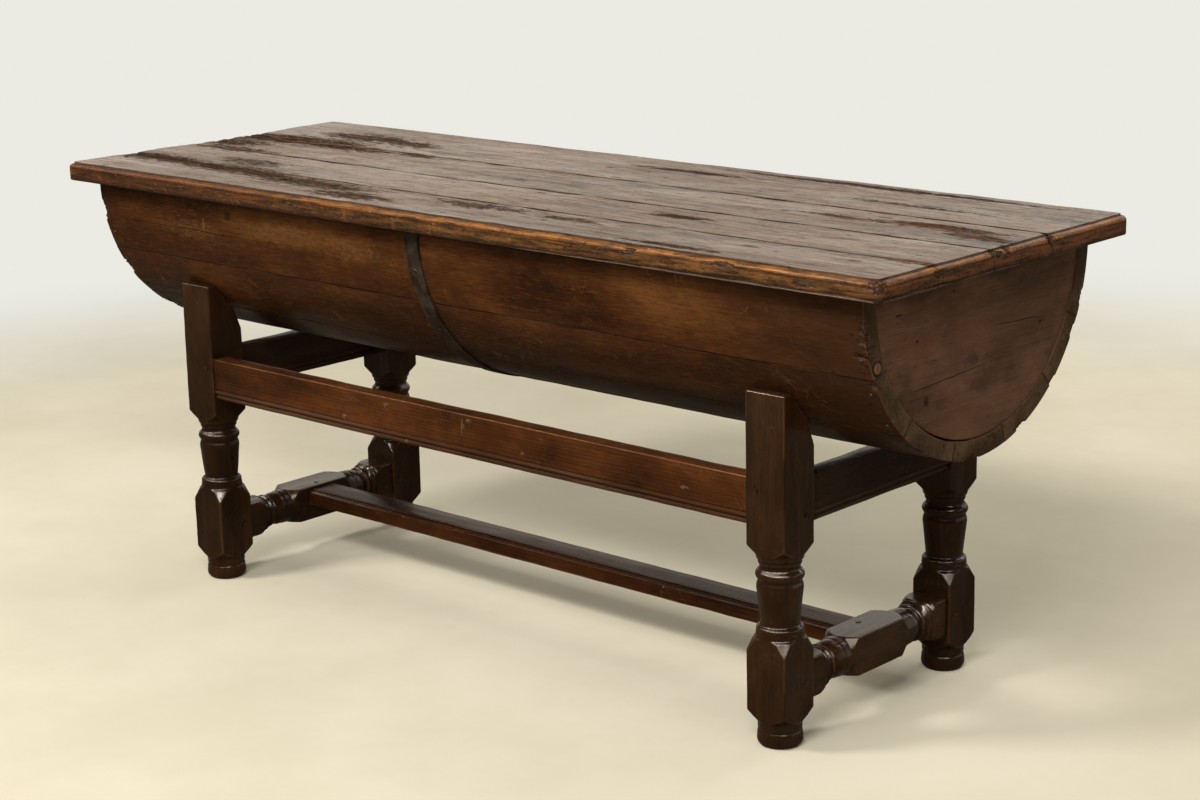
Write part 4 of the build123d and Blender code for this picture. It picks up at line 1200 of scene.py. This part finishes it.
def lid_edge(skin, x, drop, from_end, from_rim):
    """Lay the worn orange of the moulded edge, its quirk darkened with dirt and painted shade, painted shade
    under its bead and down its lower part, and its scuffs.
    """
    here = skin.here
    thickness = LID_TOP - LID_BOTTOM
    bead = LID_STEP + LID_OVOLO
    step = fall(from_rim, LID_QUIRK - 0.0010, LID_QUIRK + 0.0006)
    step = step * fade(drop, LID_STEP - 0.0012, LID_STEP - 0.0004)
    patchy = cloud(here * (11.0, 11.0, 110.0), 1.5, 7.0, 0.75)
    right = fade(x, -0.75, 0.25)
    fresh = blend(fade(patchy, 0.36, 0.62), (0.060, 0.021, 0.006), (0.34, 0.122, 0.018))
    dim = blend(fade(patchy, 0.36, 0.64), (0.034, 0.011, 0.004), (0.125, 0.037, 0.009))
    worn_band = blend(right, (0.085, 0.027, 0.009), (0.165, 0.072, 0.022))
    worn_band = blend(fall(from_end, 0.010, 0.030), worn_band, (0.160, 0.054, 0.022))
    band = blend(fade(patchy, 0.38, 0.64), (0.022, 0.012, 0.007), worn_band)
    lower = fade(drop, bead - 0.003, bead + 0.001)
    skin.lay(step, blend(lower * 0.9, blend(right, dim, fresh), band))
    # Painted shade, partly dirt, in the quirk, and painted shade under the bead.
    quirk_dirt_and_shade = fade(from_rim, LID_QUIRK - 0.0026, LID_QUIRK - 0.0010)
    quirk_dirt_and_shade = quirk_dirt_and_shade * fall(from_rim, LID_QUIRK + 0.0002, LID_QUIRK + 0.0010)
    shade_under_bead = fade(drop, 0.0098, 0.0106) * fall(drop, 0.0118, 0.0126)
    skin.lay(quirk_dirt_and_shade * 0.55, (0.016, 0.008, 0.005))
    skin.lay(shade_under_bead * step * 0.6, CHAR)
    # Painted shade down the lower part of the edge.
    skin.lay(fade(drop, thickness - 0.011, thickness - 0.003) * step * 0.72, (0.018, 0.009, 0.005))
    scuffs = cloud(here, (70.0, 70.0, 160.0), 5.0, 0.75)
    scuffed = fade(scuffs, 0.60, 0.66) * step
    dark_scuffed = fall(scuffs, 0.34, 0.41) * step
    skin.lay(scuffed * 0.30, (0.30, 0.19, 0.10))
    skin.lay(dark_scuffed * 0.5, CHAR)
    skin.lay(skin.age.flecks * step * 0.9, (0.60, 0.50, 0.34))
    skin.height = summed(skin.height, (scuffed, 0.0, -1.0), (dark_scuffed, 0.0, -2.0),
                         (cloud(here, 130.0, 4.0, 0.6) * step, 0.0, 5.0))
    worn_polish = new_node([step], "Mix")
    for socket, value in zip((worn_polish.inputs[0], *worn_polish.inputs[2:4]), (step, skin.polish, 0.14)):
        feed(socket, value)
    skin.polish = Wire(worn_polish.outputs[0])


def lid_extra(node):
    """What a plank's finish adds: a worn top with a grey sheen, an orange moulded edge, and a bare underside.
    """
    low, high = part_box(node)

    def extra(skin):
        x, y, z = skin.here.parts()
        from_end = LID_END - abs(x)
        from_rim = lesser(from_end, lesser(y - LID_FRONT, LID_BACK - y))
        seams = lid_top(skin, low, high, y, from_end)
        lid_edge(skin, x, LID_TOP - z, from_end, from_rim)
        under = fade(from_rim, 0.010, 0.020) * fall(z, LID_BOTTOM + 0.0008, LID_BOTTOM + 0.0025)
        skin.unwax(under, 0.85 + 0.12 * math.sin(40.0 * low.y), 0.25)
        skin.lay(seams * 0.85, PITCH)
    return extra


# Worm-eaten hollows in the top: place along and across, half length, half width and depth
WORM_HOLLOWS = {
    "lid_plank_front": (
        (-0.74, -0.192, 0.20, 0.014, 0.0030), (-0.56, -0.203, 0.20, 0.016, 0.0030),
        (-0.36, -0.222, 0.16, 0.013, 0.0022), (-0.20, -0.262, 0.09, 0.010, 0.0015),
        (0.50, -0.292, 0.05, 0.008, 0.0012)),
    "lid_plank_mid_front": (
        (-0.80, -0.176, 0.12, 0.010, 0.0030), (-0.76, -0.040, 0.10, 0.010, 0.0025),
        (0.365, -0.104, 0.04, 0.010, 0.0012)),
    "lid_plank_mid_rear": (
        (-0.80, 0.086, 0.13, 0.022, 0.0040), (-0.62, 0.084, 0.13, 0.012, 0.0030),
        (-0.84, 0.010, 0.07, 0.016, 0.0030), (0.73, 0.056, 0.10, 0.016, 0.0022),
        (0.82, 0.020, 0.06, 0.014, 0.0016)),
    "lid_plank_rear": (
        (-0.74, 0.118, 0.16, 0.014, 0.0030), (-0.64, 0.192, 0.13, 0.018, 0.0018),
        (0.10, 0.235, 0.10, 0.008, 0.0012), (0.45, 0.285, 0.30, 0.006, 0.0012)),
}

# Chips out of the lid's edge: middle, half sizes and depth. The first lie on the planks' seams.
SEAM_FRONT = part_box("lid_plank_front")[1].y
SEAM_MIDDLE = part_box("lid_plank_mid_rear")[0].y
SEAM_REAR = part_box("lid_plank_rear")[0].y
LID_CHIPS = (
    ((LID_END, SEAM_REAR - 0.003, LID_TOP - 0.006), (0.020, 0.008, 0.014), 0.0065),
    ((LID_END, SEAM_MIDDLE + 0.004, LID_TOP - 0.008), (0.014, 0.016, 0.008), 0.0035),
    ((LID_END, SEAM_MIDDLE + 0.034, LID_TOP - 0.005), (0.016, 0.009, 0.010), 0.0030),
    ((LID_END, SEAM_FRONT + 0.006, LID_TOP - 0.014), (0.008, 0.018, 0.007), 0.0020),
    ((LID_END - 0.004, LID_FRONT + 0.004, LID_TOP - 0.010), (0.022, 0.014, 0.009), 0.0025),
    ((0.45, LID_FRONT, LID_TOP - 0.010), (0.012, 0.010, 0.006), 0.0025),
    ((0.62, LID_FRONT, LID_TOP - 0.009), (0.022, 0.010, 0.004), 0.0020),
    ((0.76, LID_FRONT, LID_TOP - 0.019), (0.016, 0.010, 0.006), 0.0022),
    ((-0.28, LID_FRONT, LID_TOP - 0.016), (0.014, 0.010, 0.006), 0.0020),
)
LID_MIDDLE = np.array((0.0, (LID_FRONT + LID_BACK) / 2))
LID_HALF = np.array((LID_END, (LID_BACK - LID_FRONT) / 2))
LID_CORNER = 0.012


# How far along the planks' left ends are frayed, and how far back everywhere. Round two worm-eaten
# places across the lid they go back further: how much further, where, and half the width.
FRAY_REACH, FRAY_LEAST = 0.022, 0.0015
FRAYED_MORE = ((0.0130, 0.040, 0.10), (0.0060, -0.186, 0.016))


def fray_end(piece, low_x):
    """Wear the left end of a plank ragged, most where the worms have been."""
    places = places_of(piece)
    reach = np.clip(1 - (places[:, 0] - low_x) / FRAY_REACH, 0, 1)
    for index in np.flatnonzero(reach > 0):
        _, y, z = places[index]
        spot = Vector((y / 0.012, z / 0.02, 0.0))
        rough = 0.5 + 0.5 * noise.noise(spot) + 0.35 * noise.noise(spot * 3.1)
        most = FRAY_LEAST
        for further, middle, half in FRAYED_MORE:
            most += further * math.exp(-((y - middle) / half) ** 2)
        places[index, 0] += reach[index] * most * max(0.0, rough)
        if z > LID_TOP - 0.006:
            places[index, 2] -= 0.45 * reach[index] * most * max(0.0, 0.6 + rough)
    write_places(piece, places)


def into_lid_edge(places):
    """Inwards from the lid's outer edges, and a little down."""
    out = places[:, :2] - LID_MIDDLE
    inward = share_of(np.abs(out), LID_HALF - 0.02, 0.01) * -np.sign(out)
    down = -0.4 * share_of(places[:, 2], LID_TOP - 0.012, 0.006)
    return np.column_stack((0.85 * inward, down))


def ease_lid_edge(piece):
    """Round the lid's lower arris and its corners, as long handling has."""
    places = places_of(piece)
    out = places[:, :2] - LID_MIDDLE
    corner = np.maximum(np.abs(out) - LID_HALF + LID_CORNER, 0)
    length = np.linalg.norm(corner, axis=1)
    both = (corner > 0).all(axis=1) & (length > LID_CORNER)
    pull = np.zeros_like(out)
    pull[both] = (corner * (1 - LID_CORNER / np.maximum(length, 0.001))[:, None])[both]
    out -= np.sign(out) * pull
    rim = (LID_HALF - np.abs(out)).min(axis=1)
    outer = (LID_HALF - np.abs(out)).argmin(axis=1)
    rise = places[:, 2] - LID_BOTTOM
    handled = share_of(places[:, 0], -0.1, 0.9) * np.clip((0.1 - places[:, 1]) / 0.3, 0, 1)
    size = 0.0035 + 0.0018 * waves(places, 0.09, 77) + (0.0075 + 0.0020 * waves(places, 0.05, 78)) * handled
    lift = np.clip(size - rim, 0, None) * (rise < 0.0005)
    tuck = np.clip(size - rise, 0, None) * (rim < 0.0006)
    lift, tuck = (move * move / np.maximum(2 * size, 0.001) for move in (lift, tuck))
    rows = np.arange(len(out))
    out[rows, outer] -= np.sign(out[rows, outer]) * tuck
    places[:, :2] = out + LID_MIDDLE
    places[:, 2] += lift
    write_places(piece, places)


def make_planks():
    """The lid's four planks."""
    for seed, (node, marks) in enumerate(WORM_HOLLOWS.items(), start=40):
        hollows = [((along, across, LID_TOP), (half_length, half_width, 0.02), depth)
                   for along, across, half_length, half_width, depth in marks]
        low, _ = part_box(node)
        plank = planed_copy(node, steps=(0.015, 0.0125, 0.004), arris=0.0006)
        middles = read_rows(plank.data.polygons, "center")
        upward = read_rows(plank.data.polygons, "normal")[:, 2] > 0.9
        near = middles[:, 0] < low.x + 0.016
        for middle, half, _ in LID_CHIPS:
            near |= in_reach(middles, middle, half, grow=1.2, margin=0.004) < 1
        for middle, half, _ in hollows:
            near |= (in_reach(middles, middle, half, grow=1.15, margin=0.006) < 1) & upward
        refine(plank, near, cuts=6)
        uneven(plank, down_from_top, seed, depth=0.0010, length=0.10)
        carve(plank, hollows, down_from_top, grain_length=0.040, grain_width=0.0035)
        carve(plank, LID_CHIPS, into_lid_edge, grain_length=0.006, grain_width=0.006)
        fray_end(plank, low.x)
        ease_lid_edge(plank)
        finish_piece(plank, node, "lid", GRAIN_ALONG_X, seed, LID_LOOK_WITH_PAINTED_SHEEN, board_masks(node, width=0.0016),
                     lid_extra(node), from_pith=0.07, smooth=40)


def make_battens():
    """The battens under the lid."""
    battens = ("lid_batten_left", "lid_batten_middle", "lid_batten_right")
    for seed, node in enumerate(battens, start=50):
        batten = planed_copy(node, steps=(0.02, 0.02, 0.008), arris=0.0010)
        finish_piece(batten, node, "lid", GRAIN_ALONG_Y, seed, BARE_LOOK, board_masks(node, width=0.003),
                     from_pith=0.08, smooth=40)


# ---- Small parts that keep their shape -------------------------------------------------------

def dress_nodes():
    """Finishes for the nails, hinges, strap and pegs."""
    metal = iron("old_iron")
    pegs = timber("peg_timber", GRAIN_ALONG_Y, (3.0, 0.02, 0.05), STAND_LOOK, no_masks)
    for node in ("iron_strap", "strap_nails", "end_board_nails", "batten_nails", "hinge_trough_nails",
                 "hinge_lid_nails", "hinge_trough_leaf_left", "hinge_trough_leaf_right",
                 "hinge_lid_leaf_left", "hinge_lid_leaf_right", "hinge_pin_left", "hinge_pin_right",
                 "rail_pegs", "stretcher_pegs"):
        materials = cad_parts[node].data.materials
        materials.clear()
        materials.append(pegs if "pegs" in node else metal)


# ---- Floor, light and camera -----------------------------------------------------------------

WALL_COLOUR = (0.83, 0.83, 0.77)
BLACK = (0.0, 0.0, 0.0)

# The floor's width, and between which distances from the box it passes into the surround
FLOOR_SIZE, FLOOR_NEAR, FLOOR_FAR = 60.0, 1.9, 3.4

# Name, place, target, width, height and power
LAMPS = (
    ("key", (-1.8, -2.8, 3.2), (0.0, 0.0, 0.5), 0.9, 0.7, 85.0),
    ("front", (1.7, -3.3, 3.4), (0.2, 0.0, 0.4), 2.6, 0.6, 115.0),
    ("back", (0.5, 3.2, 2.8), (0.0, 0.0, 0.6), 2.3, 2.3, 40.0),
)

CAMERA_PLACE = (2.7834, -2.9587, 1.4168)
CAMERA_YAW, CAMERA_PITCH, CAMERA_ROLL = math.radians(42.25), math.radians(14.28), -0.0196
CAMERA_LENS, CAMERA_SENSOR = 74.8, 36.0


def ray_masks(tree):
    """What the camera sees, and what shows in a reflection."""
    path = tree.nodes.new("ShaderNodeLightPath").outputs
    return Wire(path["Is Camera Ray"]), Wire(path["Is Glossy Ray"])


def make_floor():
    """A plain pale floor that runs out into the pale surround."""
    bpy.ops.object.select_all(action="DESELECT")
    bpy.ops.mesh.primitive_plane_add(size=FLOOR_SIZE, location=ORIGIN)
    floor = bpy.context.active_object
    floor.name = "floor"
    material, shader, here = start_finish("pale_floor", 0.9, 0.0, 0.3, 0.0)
    seen, mirrored = ray_masks(here.tree)
    mottle = fade(cloud(here, 1.8, 6.0, 0.62), 0.3, 0.7)
    pale = blend(mottle, (0.70, 0.59, 0.41), (0.83, 0.72, 0.53))
    pale = blend(seen * 0.34, pale, (1.0, 0.95, 0.77))
    pale = blend(mirrored * 0.72, pale, BLACK)
    far = fade(here.length(), FLOOR_NEAR, FLOOR_FAR) * seen
    feed_all(shader, Base_Color=blend(far, pale, BLACK), Emission_Color=blend(far, BLACK, WALL_COLOUR),
             Emission_Strength=1.0)
    floor.data.materials.append(material)


def make_lamps():
    """Large soft lamps, each turned towards its target."""
    for name, place, target, width, height, power in LAMPS:
        data = bpy.data.lights.new(name, "AREA")
        data.shape = "RECTANGLE"
        data.size, data.size_y = width, height
        data.energy = power
        lamp = bpy.data.objects.new(name, data)
        lamp.location = place
        lamp.rotation_euler = (Vector(target) - Vector(place)).to_track_quat("-Z", "Y").to_euler()
        bpy.context.scene.collection.objects.link(lamp)


def make_world():
    """An even, pale surround. Polished timber mirrors it from behind, and a high band in front."""
    world = bpy.data.worlds.new("studio")
    bpy.context.scene.world = world
    world.use_nodes = True
    tree = world.node_tree
    seen, mirrored = ray_masks(tree)
    _, y, z = Wire(tree.nodes.new("ShaderNodeTexCoord").outputs["Generated"]).parts()
    even, dim, camera_lift, band_light = 0.42, 0.08, 0.58, 11.0
    behind = fade(y, -0.2, 0.5) * fall(z, 0.35, 0.75)
    band = band_of(z, 0.50, 0.94) * fade(y, -0.30, 0.05, band_light, 0.0)
    shine = fade(behind, 0.0, 1.0, dim, 1.0) + band - even
    strength = summed(even, (shine, 0.0, mirrored), (seen, 0.0, camera_lift))
    feed_all(tree.nodes["Background"].inputs, Strength=strength,
             Color=blend(mirrored, WALL_COLOUR, (0.91, 0.835, 0.725)))


def make_camera():
    """The camera, from its place, its heading, how far it looks down and its roll."""
    data = bpy.data.cameras.new("camera")
    data.lens, data.sensor_width = CAMERA_LENS, CAMERA_SENSOR
    camera = bpy.data.objects.new("camera", data)
    bpy.context.scene.collection.objects.link(camera)
    ahead = Vector((-math.sin(CAMERA_YAW) * math.cos(CAMERA_PITCH),
                    math.cos(CAMERA_YAW) * math.cos(CAMERA_PITCH), -math.sin(CAMERA_PITCH)))
    right = ahead.cross(Vector((0, 0, 1))).normalized()
    up = right.cross(ahead)
    right, up = (right * math.cos(CAMERA_ROLL) + up * math.sin(CAMERA_ROLL),
                 up * math.cos(CAMERA_ROLL) - right * math.sin(CAMERA_ROLL))
    camera.matrix_world = Matrix.Translation(CAMERA_PLACE) @ Matrix((right, up, -ahead)).transposed().to_4x4()
    bpy.context.scene.camera = camera


make_legs()
make_stretchers()
make_rails()
make_staves()
make_end_boards()
make_plug()
make_planks()
make_battens()
dress_nodes()
make_floor()
make_lamps()
make_world()
make_camera()
bpy.context.scene.view_settings.view_transform = "Standard"
